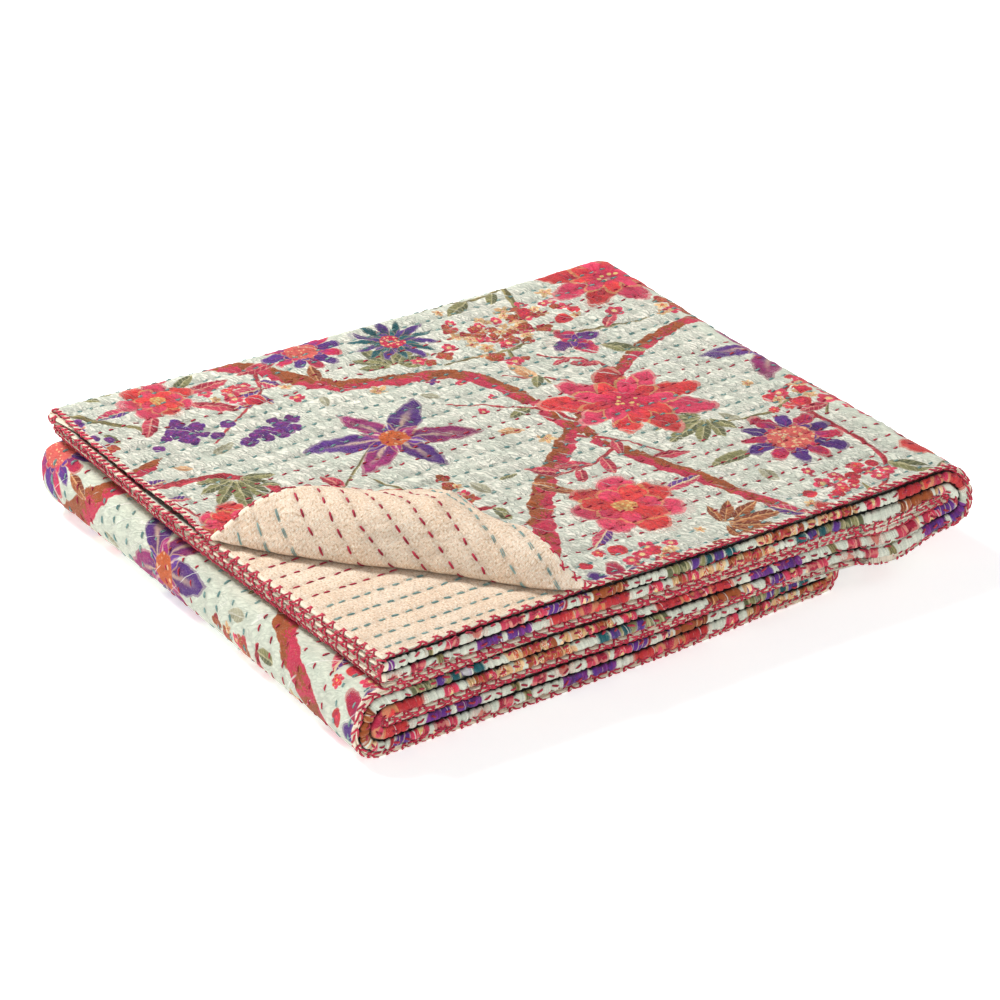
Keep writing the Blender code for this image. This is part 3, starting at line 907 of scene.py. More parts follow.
# %% From flat slab to folded cloth
def make_cloth(name, lowest, seen_level, cells, lifter):
    """One closed cloth, its points carried to where they lie folded, and its flat place kept as a UV map."""
    cuts_u, cuts_v = stations(ACROSS), stations(ALONG)
    bm = bmesh.new()
    bmesh.ops.create_grid(bm, x_segments=len(cuts_u) - 1, y_segments=len(cuts_v) - 1, size=1.0)
    for vert in bm.verts:
        column = round((vert.co.x + 1) / 2 * (len(cuts_u) - 1))
        row = round((vert.co.y + 1) / 2 * (len(cuts_v) - 1))
        vert.co = (cuts_u[column], cuts_v[row], lowest)
    raised = bmesh.ops.extrude_face_region(bm, geom=list(bm.faces), use_keep_orig=True)
    for vert in (v for v in raised["geom"] if isinstance(v, bmesh.types.BMVert)):
        vert.co.z = lowest + CLOTH_THICKNESS
    cut_finer(bm, cells, seen_level)

    flat_map = bm.loops.layers.uv.new("cloth")
    for face in bm.faces:
        face.smooth = True
        for loop in face.loops:
            loop[flat_map].uv = loop.vert.co.xy
    flat = np.array([vert.co for vert in bm.verts])
    for vert, place in zip(bm.verts, place_cloth(*flat.T, lifter)):
        vert.co = place
    bmesh.ops.recalc_face_normals(bm, faces=bm.faces)
    if bm.calc_volume(signed=True) < 0:
        bmesh.ops.reverse_faces(bm, faces=bm.faces)
    piece = finish_piece(bm, name)
    for mark, values in cloth_marks(*flat.T, lifter).items():
        piece.data.attributes.new(mark, "FLOAT", "POINT").data.foreach_set("value", values.astype(np.float32))
    return piece


def finish_piece(bm, name):
    """Makes a mesh object of a bmesh, at the origin, and frees it."""
    mesh = bpy.data.meshes.new(name)
    bm.to_mesh(mesh)
    bm.free()
    piece = bpy.data.objects.new(name, mesh)
    bpy.context.scene.collection.objects.link(piece)
    mesh.calc_loop_triangles()
    print(name, "has", len(mesh.loop_triangles), "triangles")
    return piece


printed_top = CLOTH_GAP / 2 + CLOTH_THICKNESS
printed_cloth = make_cloth("printed_cloth", CLOTH_GAP / 2, printed_top, printed_cells, printed_lift)
backing_cloth = make_cloth("backing_cloth", -printed_top, -printed_top, backing_cells, backing_lift)

# %% [markdown]
# ## Thread
#
# There are about two thousand stitches in view. Each is a short tube of thread, bent along its own path, and each
# has only a few dozen faces. One straight tube is made first as a pattern, with a ring of points for each step along
# it. Every stitch of a kind is a copy of the pattern in one joined mesh, and its rings are then moved onto the
# stitch's path. A UV map, along and round the thread, is kept for the twist of its plies.

# %% A pattern of thread
def thread_pattern(sides, rings):
    """A straight tube of thread, one unit long and one unit in radius, standing on its middle."""
    bm = bmesh.new()
    bmesh.ops.create_cone(bm, cap_ends=True, segments=sides, radius1=1.0, radius2=1.0, depth=1.0)
    lengthwise = [e for e in bm.edges if abs(e.verts[0].co.z - e.verts[1].co.z) > 0.5]
    bmesh.ops.subdivide_edges(bm, edges=lengthwise, cuts=rings - 2)
    twist_map = bm.loops.layers.uv.new("thread")
    for face in bm.faces:
        face.smooth = True
        middle = face.calc_center_median()
        turn = math.atan2(middle.y, middle.x)
        for loop in face.loops:
            angle = math.atan2(loop.vert.co.y, loop.vert.co.x)
            angle += 2 * math.pi * round((turn - angle) / (2 * math.pi))
            loop[twist_map].uv = (loop.vert.co.z + 0.5, angle / (2 * math.pi))
    pattern = bpy.data.meshes.new("thread_pattern")
    bm.to_mesh(pattern)
    bm.free()
    return pattern


def sew(name, path, up, sides, half_width, half_height, end_size=0.55):
    """One joined mesh of stitches. path and up are (stitch, ring, 3): each ring's middle and its outward way."""
    stitches, rings = path.shape[:2]
    pattern = thread_pattern(sides, rings)
    bm = bmesh.new()
    for _ in range(stitches):
        bm.from_mesh(pattern)
    piece = finish_piece(bm, name)

    points = np.array([vert.co for vert in pattern.vertices])
    ring = np.rint((points[:, 2] + 0.5) * (rings - 1)).astype(int)
    ahead = np.gradient(path, axis=1)
    ahead /= np.linalg.norm(ahead, axis=2, keepdims=True)
    beside = np.cross(ahead, up)
    beside /= np.linalg.norm(beside, axis=2, keepdims=True)
    above = np.cross(beside, ahead)
    taper = np.interp(np.arange(rings), (0, 1, rings - 2, rings - 1), (end_size, 1, 1, end_size))[ring][None, :, None]
    places = path[:, ring] + half_width * taper * points[:, 0][None, :, None] * beside[:, ring]
    places = places + half_height * taper * points[:, 1][None, :, None] * above[:, ring]
    places[..., 2] = np.maximum(places[..., 2], 0.0)  # a stitch under the stack is pressed flat
    piece.data.vertices.foreach_set("co", places.reshape(-1))
    piece.data.update()
    bpy.data.meshes.remove(pattern)
    return piece


# %% [markdown]
# ## Running stitches
#
# The same thread shows on both sides in turn: short on the print, where it pulls deep, and longer on the backing.
# The teal thread is doubled, and its two strands lie side by side. The maker changed colour every few rows, so a
# short table gives the row at which each colour begins. Only stitches in the free zones are made, because those
# inside the stack never show.

# %% Which thread each row has
THREADS = {  # the first row that is sewn in each colour
    0: "teal", 2: "red", 8: "teal", 12: "red", 15: "teal", 20: "red", 22: "teal", 30: "red", 36: "teal",
    46: "red", 50: "teal", 55: "red", 62: "teal", 70: "red", 77: "teal", 88: "red", 93: "teal",
}
ROW_THREADS = [THREADS[max(first for first in THREADS if first <= row)] for row in range(ROWS)]
print(ROW_THREADS.count("red"), "red rows and", ROW_THREADS.count("teal"), "teal rows")

# %% Stitches on one side of the quilt
STITCH_RISE = (0.30 * MM, 0.42 * MM, 0.30 * MM)  # above the cloth between its two ends
STITCH_RINGS = len(STITCH_RISE) + 2
ROW_END = 0.006  # how far from the cut ends the rows stop
ZONE_FLOOR = 0.3  # what a zone has to reach for a stitch to be made


def on_cloth(u, v, level, lifter, above):
    """Places above a cloth's seen side, at flat places in arrays of any shape."""
    shape = u.shape
    u, v = u.ravel(), v.ravel()
    above = np.broadcast_to(above, shape).ravel()
    new_u, new_v = drawn_in(u, v)
    lift = lifter(u, v, np.full(len(u), level)) + math.copysign(1.0, level) * above
    return lay(new_u, new_v, lift).reshape(*shape, 3)


def stitch_paths(rows, level, lifter, zone, length, shift, sink, beside=0.0):
    """The paths of all stitches of some rows that lie in a zone, and their outward ways.

    shift is the share of the pitch by which they lie further on, and sink how deep their ends go.
    """
    numbers = np.arange(int(QUILT_LENGTH / STITCH_PITCH))
    row, number = (grid.ravel() for grid in np.meshgrid(rows, numbers, indexing="ij"))
    middle = stitch_place(row, number) + shift * STITCH_PITCH
    across = row_place(row, middle)
    inside = (middle > ROW_END) & (middle < QUILT_LENGTH - ROW_END)
    kept = inside & (zone(across, middle) > ZONE_FLOOR)
    row, number, middle, across = row[kept], number[kept], middle[kept], across[kept]

    half = length / 2 * (1 + 0.18 * place_number(row, number, 121))
    slant = 0.16 * length * place_number(row, number, 122)
    share = np.linspace(-1, 1, STITCH_RINGS)[None, :]
    v = middle[:, None] + half[:, None] * share
    u = across[:, None] + slant[:, None] * share / 2 + beside * (1 + 0.4 * place_number(row, number, 123))[:, None]
    above = np.array([-sink, *STITCH_RISE, -sink])[None, :]
    path = on_cloth(u, v, level, lifter, above)
    up = on_cloth(u, v, level, lifter, above + 0.5 * MM) - path
    return path, up


def printed_zone(u, v):
    """Where stitches of the printed side can be seen."""
    free, fold = printed_zones(u, v)
    hidden = (past_crease_of(u, v) > 0.004) & on_leaf_a(u, v)
    return np.where(hidden, 0.0, np.maximum(free, fold))


# %% Sewing the rows
THREAD_SIDES = 5
PRINTED_STITCH, BACKING_STITCH = 4.3 * MM, 5.7 * MM  # how long a stitch is on each side
STRANDS = {  # how far beside its row each strand of a thread lies, and half the width of a strand
    "red": ((0.0,), 0.74 * MM),
    "teal": ((-0.40 * MM, 0.40 * MM), 0.30 * MM),
}
running = {}
for thread, (places_beside, half_width) in STRANDS.items():
    rows = np.array([row for row in range(ROWS) if ROW_THREADS[row] == thread], dtype=float)
    sewn = []
    for beside in places_beside:
        sewn.append(stitch_paths(
            rows, printed_top, printed_lift, printed_zone, PRINTED_STITCH, 0.0, 0.30 * MM, beside))
        sewn.append(stitch_paths(
            rows, -printed_top, backing_lift, backing_zones, BACKING_STITCH, 0.5, 0.35 * MM, beside))
    path, up = (np.concatenate(both) for both in zip(*sewn))
    running[thread] = sew(f"running_stitches_{thread}", path, up, THREAD_SIDES, half_width, 0.40 * MM)
    print(len(path), thread, "stitches")

# %% [markdown]
# ## Edge stitches
#
# The edge is whipped with a doubled red thread. Each step has two strands. On the print both lean far over and run
# nearly along the lip, one behind the other, so that the edge looks like a red and cream rope. On the backing they
# lean against each other and make a little cross. A strand's path is given in the edge's own section, as steps in
# from the edge with the share of the way along, and the cloth's own lift carries it round the lip.

# %% Paths over the lip
FIRST_STRAND = (  # in from the edge, above the cloth, share of the pitch along, and the side it lies on
    (2.6, -0.50, -0.56, 1),
    (1.7, 0.28, -0.46, 1),
    (0.2, 0.36, -0.30, 1),
    (-0.45, 0.20, -0.08, 1),
    (-0.20, 0.34, 0.02, -1),
    (1.2, 0.34, 0.08, -1),
    (2.2, 0.28, 0.22, -1),
    (2.8, -0.45, 0.32, -1),
)
SECOND_STRAND = (
    (2.6, -0.50, -0.06, 1),
    (1.7, 0.28, 0.03, 1),
    (0.2, 0.36, 0.18, 1),
    (-0.45, 0.20, 0.37, 1),
    (-0.20, 0.34, 0.36, -1),
    (1.2, 0.34, 0.22, -1),
    (2.2, 0.36, 0.02, -1),
    (2.8, -0.45, -0.08, -1),
)


def edge_place(side, inward, along):
    """The flat place of a point near one of the four sides of the quilt."""
    across = (inward, QUILT_WIDTH - inward, inward, QUILT_LENGTH - inward)[side]
    return (across, along) if side < 2 else (along, across)


def edge_paths(side, strand):
    """The paths of one of the two strands of every step along a side."""
    side_length = QUILT_LENGTH if side < 2 else QUILT_WIDTH
    numbers = np.arange(int(side_length / EDGE_PITCH))
    middle = edge_stitch_place(side, numbers)
    uneven = 1 + 0.22 * place_number(numbers, side, 131)
    rings, centres = [], []
    for inward, above, share, face in strand:
        along = np.clip(middle + share * uneven * EDGE_PITCH, 0.0015, side_length - 0.0015)
        inward = np.full(len(numbers), inward * MM) * (1 + 0.16 * place_number(numbers, side, 132))
        u, v = edge_place(side, np.maximum(inward, 0.0), along)
        inward = inward * (1 - 0.62 * on_flap(u, v) * (face < 0))
        u, v = edge_place(side, np.maximum(inward, 0.0), along)
        lifter, level = (printed_lift, printed_top) if face > 0 else (backing_lift, -printed_top)
        new_u, new_v = drawn_in(u, v)
        lift = lifter(u, v, np.full(len(u), level)) + face * above * MM
        beyond_u, beyond_v = edge_place(side, np.minimum(inward, 0.0), along)
        edge_u, edge_v = edge_place(side, inward * 0, along)
        rings.append(lay(new_u + (beyond_u - edge_u), new_v + (beyond_v - edge_v), lift))
        deep_u, deep_v = edge_place(side, np.maximum(inward, 1.5 * MM), along)
        centres.append(lay(*drawn_in(deep_u, deep_v), lift * 0.0))
    path = np.stack(rings, 1)
    return path, path - np.stack(centres, 1)


edge_threads = [edge_paths(side, strand) for side in range(4) for strand in (FIRST_STRAND, SECOND_STRAND)]
edge_stitches = sew(
    "edge_stitches",
    np.concatenate([path for path, _ in edge_threads]),
    np.concatenate([up for _, up in edge_threads]),
    THREAD_SIDES, 0.74 * MM, 0.44 * MM, 0.7,
)
print(sum(len(path) for path, _ in edge_threads), "strands of edge stitches")

# %% [markdown]
# ## The printed garden
#
# The print is a block-printed garden: large crimson and purple blooms, rust-red branches, olive and teal leaves, all
# on pale sage. A picture file would be the quick way, but a drawn print stays sharp at any size and can be recut.
# So the design is drawn up as a repeat, as a textile designer would: a tile that fits to itself on all sides, with a
# short table of blooms and of branches. Twigs, leaves and small blossoms then grow along the branches by rule.

# %% The repeat and its blooms
REPEAT = np.array([0.415, 0.470])  # across and along the quilt


class Bloom(NamedTuple):
    """One large flower of the repeat."""

    kind: str
    across: float
    along: float
    radius: float
    turn: float  # degrees


BLOOM_KINDS = ("lotus", "lily", "daisy", "rose", "blossom", "berry", "bud", "cornflower", "star", "husk", "grape")
BLOOMS = (
    Bloom("lotus", 0.182, 0.306, 0.056, 15),
    Bloom("lily", 0.216, 0.158, 0.056, 200),
    Bloom("daisy", 0.083, 0.356, 0.038, 10),
    Bloom("rose", 0.070, 0.222, 0.040, 75),
    Bloom("rose", 0.336, 0.064, 0.026, 75),
    Bloom("lotus", 0.338, 0.400, 0.050, 140),
    Bloom("cornflower", 0.332, 0.232, 0.033, 0),
    Bloom("lily", 0.064, 0.072, 0.050, 250),
    Bloom("rose", 0.034, 0.436, 0.036, 10),
    Bloom("lily", 0.196, 0.424, 0.050, 310),
    Bloom("daisy", 0.398, 0.160, 0.034, 30),
    Bloom("lotus", 0.392, 0.316, 0.034, 80),
    Bloom("rose", 0.178, 0.022, 0.030, 20),
    Bloom("bud", 0.272, 0.330, 0.022, 130),
    Bloom("daisy", 0.350, 0.176, 0.028, 200),
)


# %% Branches
class Branch(NamedTuple):
    """A branch of the repeat, through a few places, with its width where it starts and ends, in millimetres."""

    start_width: float
    end_width: float
    wood: int  # 0 rust and crimson, 1 olive, 2 crimson
    places: tuple


BRANCHES = (
    Branch(18.0, 9.0, 0, (
        (0.425, 0.030), (0.362, 0.122), (0.296, 0.170), (0.262, 0.246), (0.140, 0.262), (0.008, 0.300))),
    Branch(16.0, 8.0, 0, ((0.000, 0.112), (0.050, 0.150), (0.124, 0.206), (0.238, 0.356), (0.262, 0.468))),
    Branch(7.0, 4.0, 2, ((0.245, 0.000), (0.222, 0.058), (0.140, 0.078), (0.118, 0.132))),
    Branch(4.0, 2.2, 2, ((0.122, 0.470), (0.136, 0.392), (0.030, 0.384), (-0.020, 0.330))),
    Branch(4.5, 2.4, 1, ((0.415, 0.352), (0.372, 0.338), (0.290, 0.306), (0.286, 0.252))),
    Branch(3.6, 2.0, 1, ((0.350, 0.470), (0.372, 0.452), (0.410, 0.470), (0.440, 0.430))),
)
SAMPLE_STEP = 1.5 * MM


def flowing_line(places):
    """Evenly spaced points on a smooth line through some places."""
    places = np.array(places, dtype=float)
    padded = np.vstack([2 * places[0] - places[1], places, 2 * places[-1] - places[-2]])
    t = np.linspace(0, 1, 60, endpoint=False)[:, None]
    bends = []
    for a, b, c, d in zip(padded, padded[1:], padded[2:], padded[3:]):
        bends.append(0.5 * (2 * b + (c - a) * t + (2 * a - 5 * b + 4 * c - d) * t**2 + (3 * b - a - 3 * c + d) * t**3))
    line = np.vstack([*bends, places[-1:]])
    run = np.concatenate([[0.0], np.cumsum(np.linalg.norm(np.diff(line, axis=0), axis=1))])
    even = np.arange(0.0, run[-1], SAMPLE_STEP)
    return np.stack([np.interp(even, run, line[:, 0]), np.interp(even, run, line[:, 1])], 1)


def wrapped(offset):
    """The shortest way between two places of the repeat, which fits to itself on all sides."""
    return offset - REPEAT * np.round(offset / REPEAT)


# %% Growing twigs, leaves and small blossoms
LEAF_KINDS = ("olive", "crimson", "teal", "peach", "rust", "pale", "plum")
rng = random.Random(7)
wood_points = []  # place, way, half width, wood and distance along, for every sampled point of a branch or twig
leaves = []  # stalk end, way, length, half width, kind
sprigs = []  # middle, radius, turn, kind
taken = [(np.array([b.across, b.along]), b.radius * 0.92) for b in BLOOMS]


def numbered(kinds, kind, rng=rng):
    """The number of a kind, with a chance of its own behind the point."""
    return kinds.index(kind) + rng.random() * 0.9


def is_free(place, radius):
    """Whether nothing large lies within a radius of a place."""
    return all(np.linalg.norm(wrapped(place - other)) > radius + size for other, size in taken)


def add_wood(line, start_width, end_width, wood):
    """Adds a sampled line of wood."""
    ways = np.gradient(line, axis=0)
    ways /= np.linalg.norm(ways, axis=1, keepdims=True)
    for step, (place, way) in enumerate(zip(line, ways)):
        half = (start_width + (end_width - start_width) * step / len(line)) / 2
        wood_points.append((*place, *way, half, wood, step * SAMPLE_STEP / MM))


def add_leaf(stalk, way, length, half_width, kind):
    """Adds a leaf if there is room for it."""
    middle = stalk + way * length * 0.5
    if is_free(middle, length * 0.30):
        leaves.append((*stalk, *way, length, half_width, numbered(LEAF_KINDS, kind)))
        taken.append((middle, length * 0.27))


def add_sprig(middle, radius, kind):
    """Adds a small blossom, bud or berry if there is room for it."""
    if is_free(middle, radius * 0.95):
        sprigs.append((*middle, radius, rng.uniform(0, 2 * math.pi), numbered(BLOOM_KINDS, kind)))
        taken.append((middle, radius * 0.9))


def turned(way, degrees):
    """A direction turned by some degrees."""
    cos, sin = math.cos(math.radians(degrees)), math.sin(math.radians(degrees))
    return np.array([way[0] * cos - way[1] * sin, way[0] * sin + way[1] * cos])


def straight(way):
    """A way made one unit long."""
    return way / np.linalg.norm(way)


def grow_twig(start, way, side, wood):
    """A curved twig with leaves on both sides and a bud, a blossom or a leaf at its end."""
    length = rng.uniform(0.030, 0.062)
    curl = side * rng.uniform(8, 34)
    places = [start, start + turned(way, curl * 0.4) * length * 0.5, start + turned(way, curl) * length]
    if not is_free(places[-1], 0.004):
        return
    line = flowing_line(places)
    add_wood(line, 2.4, 1.1, wood)
    kind = rng.choice(("olive", "crimson", "peach", "crimson", "plum", "crimson", "olive", "crimson", "pale", "plum"))
    for step in range(6, len(line) - 2, 7):
        leaf_side = 1 if (step // 7) % 2 else -1
        ahead = turned(straight(line[step] - line[step - 2]), leaf_side * rng.uniform(38, 62))
        size = rng.uniform(0.015, 0.027)
        add_leaf(line[step], ahead, size, size * rng.uniform(0.17, 0.26), kind)
    ahead = straight(line[-1] - line[-3])
    if rng.random() < 0.55:
        radius = rng.uniform(0.007, 0.012)
        add_sprig(line[-1] + ahead * 0.006, radius, rng.choice(("blossom", "bud", "blossom", "berry")))
    else:
        add_leaf(line[-1], ahead, rng.uniform(0.018, 0.030), rng.uniform(0.0035, 0.0055), kind)


# %% Sprays of small blossoms
class Spray(NamedTuple):
    """A cloud of small blossoms."""

    across: float
    along: float
    size: float
    blossoms: int
    kinds: tuple


WARM = ("star", "husk", "star", "husk", "blossom")
PINK = ("blossom", "rose", "berry", "blossom", "star")
GRAPE = ("grape",)
SPRAYS = (
    Spray(0.312, 0.284, 0.026, 90, WARM), Spray(0.128, 0.410, 0.024, 46, PINK), Spray(0.290, 0.056, 0.011, 34, GRAPE),
    Spray(0.010, 0.190, 0.020, 40, PINK), Spray(0.262, 0.104, 0.010, 26, GRAPE), Spray(0.130, 0.120, 0.017, 40, WARM),
    Spray(0.280, 0.436, 0.022, 50, WARM), Spray(0.014, 0.350, 0.018, 36, PINK), Spray(0.396, 0.236, 0.016, 26, WARM),
)


def grow_spray(spray, rng):
    """Adds the blossoms of a spray that find room."""
    for _ in range(spray.blossoms):
        middle = np.array([spray.across + rng.gauss(0, spray.size * 0.62), spray.along + rng.gauss(0, spray.size)])
        clear = all(np.linalg.norm(wrapped(middle - np.array(s[:2]))) > 0.82 * s[2] for s in sprigs[-90:])
        if clear and is_free(middle, 0.001):
            kind = numbered(BLOOM_KINDS, rng.choice(spray.kinds), rng)
            sprigs.append((*middle, rng.uniform(0.0042, 0.0076), rng.uniform(0, 2 * math.pi), kind))


for spray in SPRAYS:
    grow_spray(spray, rng)
taken += [(np.array(s[:2]), 0.004) for s in sprigs]
print(len(sprigs), "blossoms in", len(SPRAYS), "sprays")

# %% Growing along the branches
TWIG_STEPS = 13  # sampled points from one twig to the next
for branch in BRANCHES:
    line = flowing_line(branch.places)
    add_wood(line, branch.start_width, branch.end_width, branch.wood)
    side = 1
    for step in range(12, len(line) - 4, TWIG_STEPS):
        way = straight(line[step + 2] - line[step - 2])
        half = branch.start_width / 2 * MM
        out = turned(way, side * rng.uniform(48, 80))
        if step % (2 * TWIG_STEPS) < TWIG_STEPS or rng.random() < 0.7:
            grow_twig(line[step] + out * half * 0.8, out, side, 2 if branch.wood == 0 and rng.random() < 0.7 else 1)
        else:
            size = rng.uniform(0.022, 0.036)
            kind = rng.choice(("olive", "crimson", "rust", "plum", "plum"))
            add_leaf(line[step] + out * half * 0.9, out, size, size * 0.2, kind)
        side = -side

LATE_SPRAYS = (  # these may lie over the wood
    Spray(0.320, 0.118, 0.012, 16, PINK), Spray(0.318, 0.346, 0.014, 14, PINK), Spray(0.313, 0.456, 0.013, 30, GRAPE),
)
for spray in LATE_SPRAYS:
    grow_spray(spray, random.Random(17))
print(len(BLOOMS), "blooms,", len(wood_points), "points of wood,", len(leaves), "leaves,", len(sprigs), "blossoms")

# %% Hand-shaped leaves
HANDS = (  # across, along, the way it points in degrees, and its kind
    (0.372, 0.020, 60, "olive"), (0.226, 0.052, 200, "olive"), (0.020, 0.256, 100, "rust"),
    (0.300, 0.214, 20, "olive"), (0.134, 0.330, 250, "olive"), (0.400, 0.440, 330, "teal"),
)
for across, along, degrees, kind in HANDS:
    wrist = np.array([across, along])
    for finger in (0, -1, 1, -2, 2, -3, 3):
        way = turned(np.array([1.0, 0.0]), degrees + 29 * finger)
        size = 0.036 - 0.005 * abs(finger)
        leaves.append((*(wrist + way * 0.003), *way, size, size * 0.155, numbered(LEAF_KINDS, kind)))
        taken.append((wrist + way * size * 0.5, size * 0.30))
print(len(HANDS), "hand-shaped leaves")

# %% Leaves round the large blooms
for bloom in BLOOMS:
    for turn in range(0, 360, 51):
        angle = math.radians(bloom.turn + turn + rng.uniform(-14, 14))
        way = np.array([math.cos(angle), math.sin(angle)])
        size = rng.uniform(0.024, 0.036) * (0.7 + bloom.radius * 8)
        kind = rng.choice(("olive", "plum", "rust", "crimson", "crimson", "olive"))
        add_leaf(np.array([bloom.across, bloom.along]) + way * bloom.radius * 0.78, way, size, size * 0.17, kind)

# %% A scatter in what is still empty
SCATTERED = 420  # how often a place is tried
for _ in range(SCATTERED):
    middle = np.array([rng.uniform(0, REPEAT[0]), rng.uniform(0, REPEAT[1])])
    near_wood = min(np.linalg.norm(wrapped(middle - np.array(p[:2]))) for p in wood_points[::3])
    if near_wood < 0.010 or not is_free(middle, 0.010):
        continue
    if rng.random() < 0.45:
        add_sprig(middle, rng.uniform(0.0035, 0.0075), rng.choice(("berry", "star", "blossom", "bud")))
    else:
        angle = rng.uniform(0, 2 * math.pi)
        size = rng.uniform(0.011, 0.020)
        kind = rng.choice(("pale", "peach", "pale", "olive"))
        add_leaf(middle, np.array([math.cos(angle), math.sin(angle)]), size, size * 0.2, kind)
print("with the scatter", len(leaves), "leaves and", len(sprigs), "small blossoms")

# %% [markdown]
# ### From the repeat to the cloth
#
# Each face of the cloth is told which bloom, leaf, small blossom and piece of wood lies nearest to its middle, and
# each of its corners where it is inside that motif, in the motif's own measure. The material then only has to know
# how to draw one petal or one leaf. A face keeps to one motif, so the numbers run straight across it and the drawn
# edges stay sharp, however large the face is.

# %% Nearest motifs
FAR = 9.0  # no motif is drawn so far from its middle
PART = 20000


def corners_and_middles(mesh):
    """The flat place of every face corner, the number of its face, and the middle of every face."""
    flat = np.zeros(len(mesh.loops) * 2)
    mesh.uv_layers["cloth"].data.foreach_get("uv", flat)
    flat = flat.reshape(-1, 2)
    counts = np.zeros(len(mesh.polygons), dtype=int)
    mesh.polygons.foreach_get("loop_total", counts)
    face = np.repeat(np.arange(len(counts)), counts)
    middles = np.stack([np.bincount(face, flat[:, axis]) for axis in (0, 1)], 1) / counts[:, None]
    return flat, face, middles


def nearest(middles, centres, measure):
    """The motif with the smallest measure from each middle, worked out a part at a time to spare memory."""
    best = np.zeros(len(middles), dtype=int)
    for part in range(0, len(middles), PART):
        best[part:part + PART] = np.argmin(measure(wrapped(middles[part:part + PART, None] - centres[None])), axis=1)
    return best


def nearest_round(middles, motifs):
    """The round motif that is nearest, in its own radius, to each middle."""
    return nearest(middles, motifs[:, :2], lambda away: np.linalg.norm(away, axis=2) / motifs[:, 2])


def nearest_leaf(middles, motifs):
    """The leaf whose own length and width bring it nearest to each middle."""
    stalks, ways, lengths, halves = motifs[:, :2], motifs[:, 2:4], motifs[:, 4], motifs[:, 5]

    def measure(away):
        along = (away * ways).sum(2) / lengths * 2
        across = (away[..., 1] * ways[:, 0] - away[..., 0] * ways[:, 1]) / halves
        return np.hypot(along, across * 0.7)

    return nearest(middles, stalks + ways * lengths[:, None] / 2, measure)


def along_and_across(away, way):
    """How far ahead along a way, and how far beside it, each place lies."""
    return (away * way).sum(1), away[:, 1] * way[:, 0] - away[:, 0] * way[:, 1]


def write_places(mesh, name, x, y, number):
    """Keeps three numbers for each face corner."""
    layer = mesh.attributes.new(name, "FLOAT_VECTOR", "CORNER")
    layer.data.foreach_set("vector", np.stack([x, y, number], 1).astype(np.float32).reshape(-1))


# %% Blooms, blossoms and leaves on the cloth
def print_round(mesh, name, motifs):
    """Writes where every face corner lies in its nearest round motif."""
    flat, face, middles = corners_and_middles(mesh)
    chosen = motifs[nearest_round(middles, motifs)]
    away = (flat + (wrapped(middles - chosen[:, :2]) - middles)[face]) / chosen[face, 2:3]
    x, y = along_and_across(away, np.stack([np.cos(chosen[face, 3]), np.sin(chosen[face, 3])], 1))
    write_places(mesh, name, np.clip(x, -FAR, FAR), np.clip(y, -FAR, FAR), chosen[face, 4])


def print_leaves(mesh):
    """Writes where every face corner lies in its nearest leaf."""
    flat, face, middles = corners_and_middles(mesh)
    motifs = np.array(leaves)
    chosen = motifs[nearest_leaf(middles, motifs)]
    away = flat + (wrapped(middles - chosen[:, :2]) - middles)[face]
    along, across = along_and_across(away, chosen[face, 2:4])
    along, across = along / chosen[face, 4], across / chosen[face, 5]
    write_places(mesh, "leaf", np.clip(along, -FAR, FAR), np.clip(across, -FAR, FAR), chosen[face, 6])


blooms = [(b.across, b.along, b.radius, math.radians(b.turn), BLOOM_KINDS.index(b.kind) + 0.07 * (number % 13))
          for number, b in enumerate(BLOOMS)]
print_round(printed_cloth.data, "bloom", np.array(blooms))
print_round(printed_cloth.data, "sprig", np.array(sprigs))
print_leaves(printed_cloth.data)
print("printed", len(printed_cloth.data.polygons), "faces with flowers and leaves")

# %% Wood on the cloth
FAR_FROM_WOOD = 90  # in millimetres


def print_wood(mesh):
    """Writes how far beside the nearest wood every face corner lies, and how far along it."""
    flat, face, middles = corners_and_middles(mesh)
    wood = np.array(wood_points)
    copies = np.vstack([wood[:, :2] + REPEAT * (i, j) for i in (-1, 0, 1) for j in (-1, 0, 1)])
    tree = KDTree(len(copies))
    for number, place in enumerate(copies):
        tree.insert((*place, 0.0), number)
    tree.balance()
    home = middles - REPEAT * np.floor(middles / REPEAT)
    found = np.array([tree.find((*place, 0.0))[1] for place in home])
    chosen = wood[found % len(wood)][face]
    along, across = along_and_across(flat + (home - middles - copies[found])[face], chosen[:, 2:4])
    across = np.clip(across / MM, -FAR_FROM_WOOD, FAR_FROM_WOOD)
    packed = chosen[:, 4] + 10 * chosen[:, 5]  # half the width, and the kind of wood in tens
    write_places(mesh, "wood", across, packed, along / MM + chosen[:, 6])


print_wood(printed_cloth.data)
print("printed with", len(wood_points), "points of wood")

# %% [markdown]
# ## Shader helpers
#
# A node tree is easier to read as sums than as wires. So a wire here knows how to be added to and multiplied, and
# each sum places one node. The drawing of a petal below then reads like a formula. The other helpers place one node
# each and give back its output. Anything used by more than one material becomes a group.

# %% Placing a node
def feed(socket, value):
    """Links a wire to an input, or sets the input to a plain value."""
    if isinstance(value, Wire):
        value.tree.links.new(value.socket, socket)
    elif isinstance(value, tuple) and len(value) == 3 and socket.type == "RGBA":
        socket.default_value = (*value, 1.0)
    else:
        socket.default_value = value


def placed(kind, inputs, **settings):
    """A new node, in the tree of the first wire that feeds it."""
    tree = next(value.tree for value in inputs.values() if isinstance(value, Wire))
    node = tree.nodes.new("ShaderNode" + kind)
    for name, setting in settings.items():
        setattr(node, name, setting)
    for name, value in inputs.items():
        feed(node.inputs[name], value)
    return node


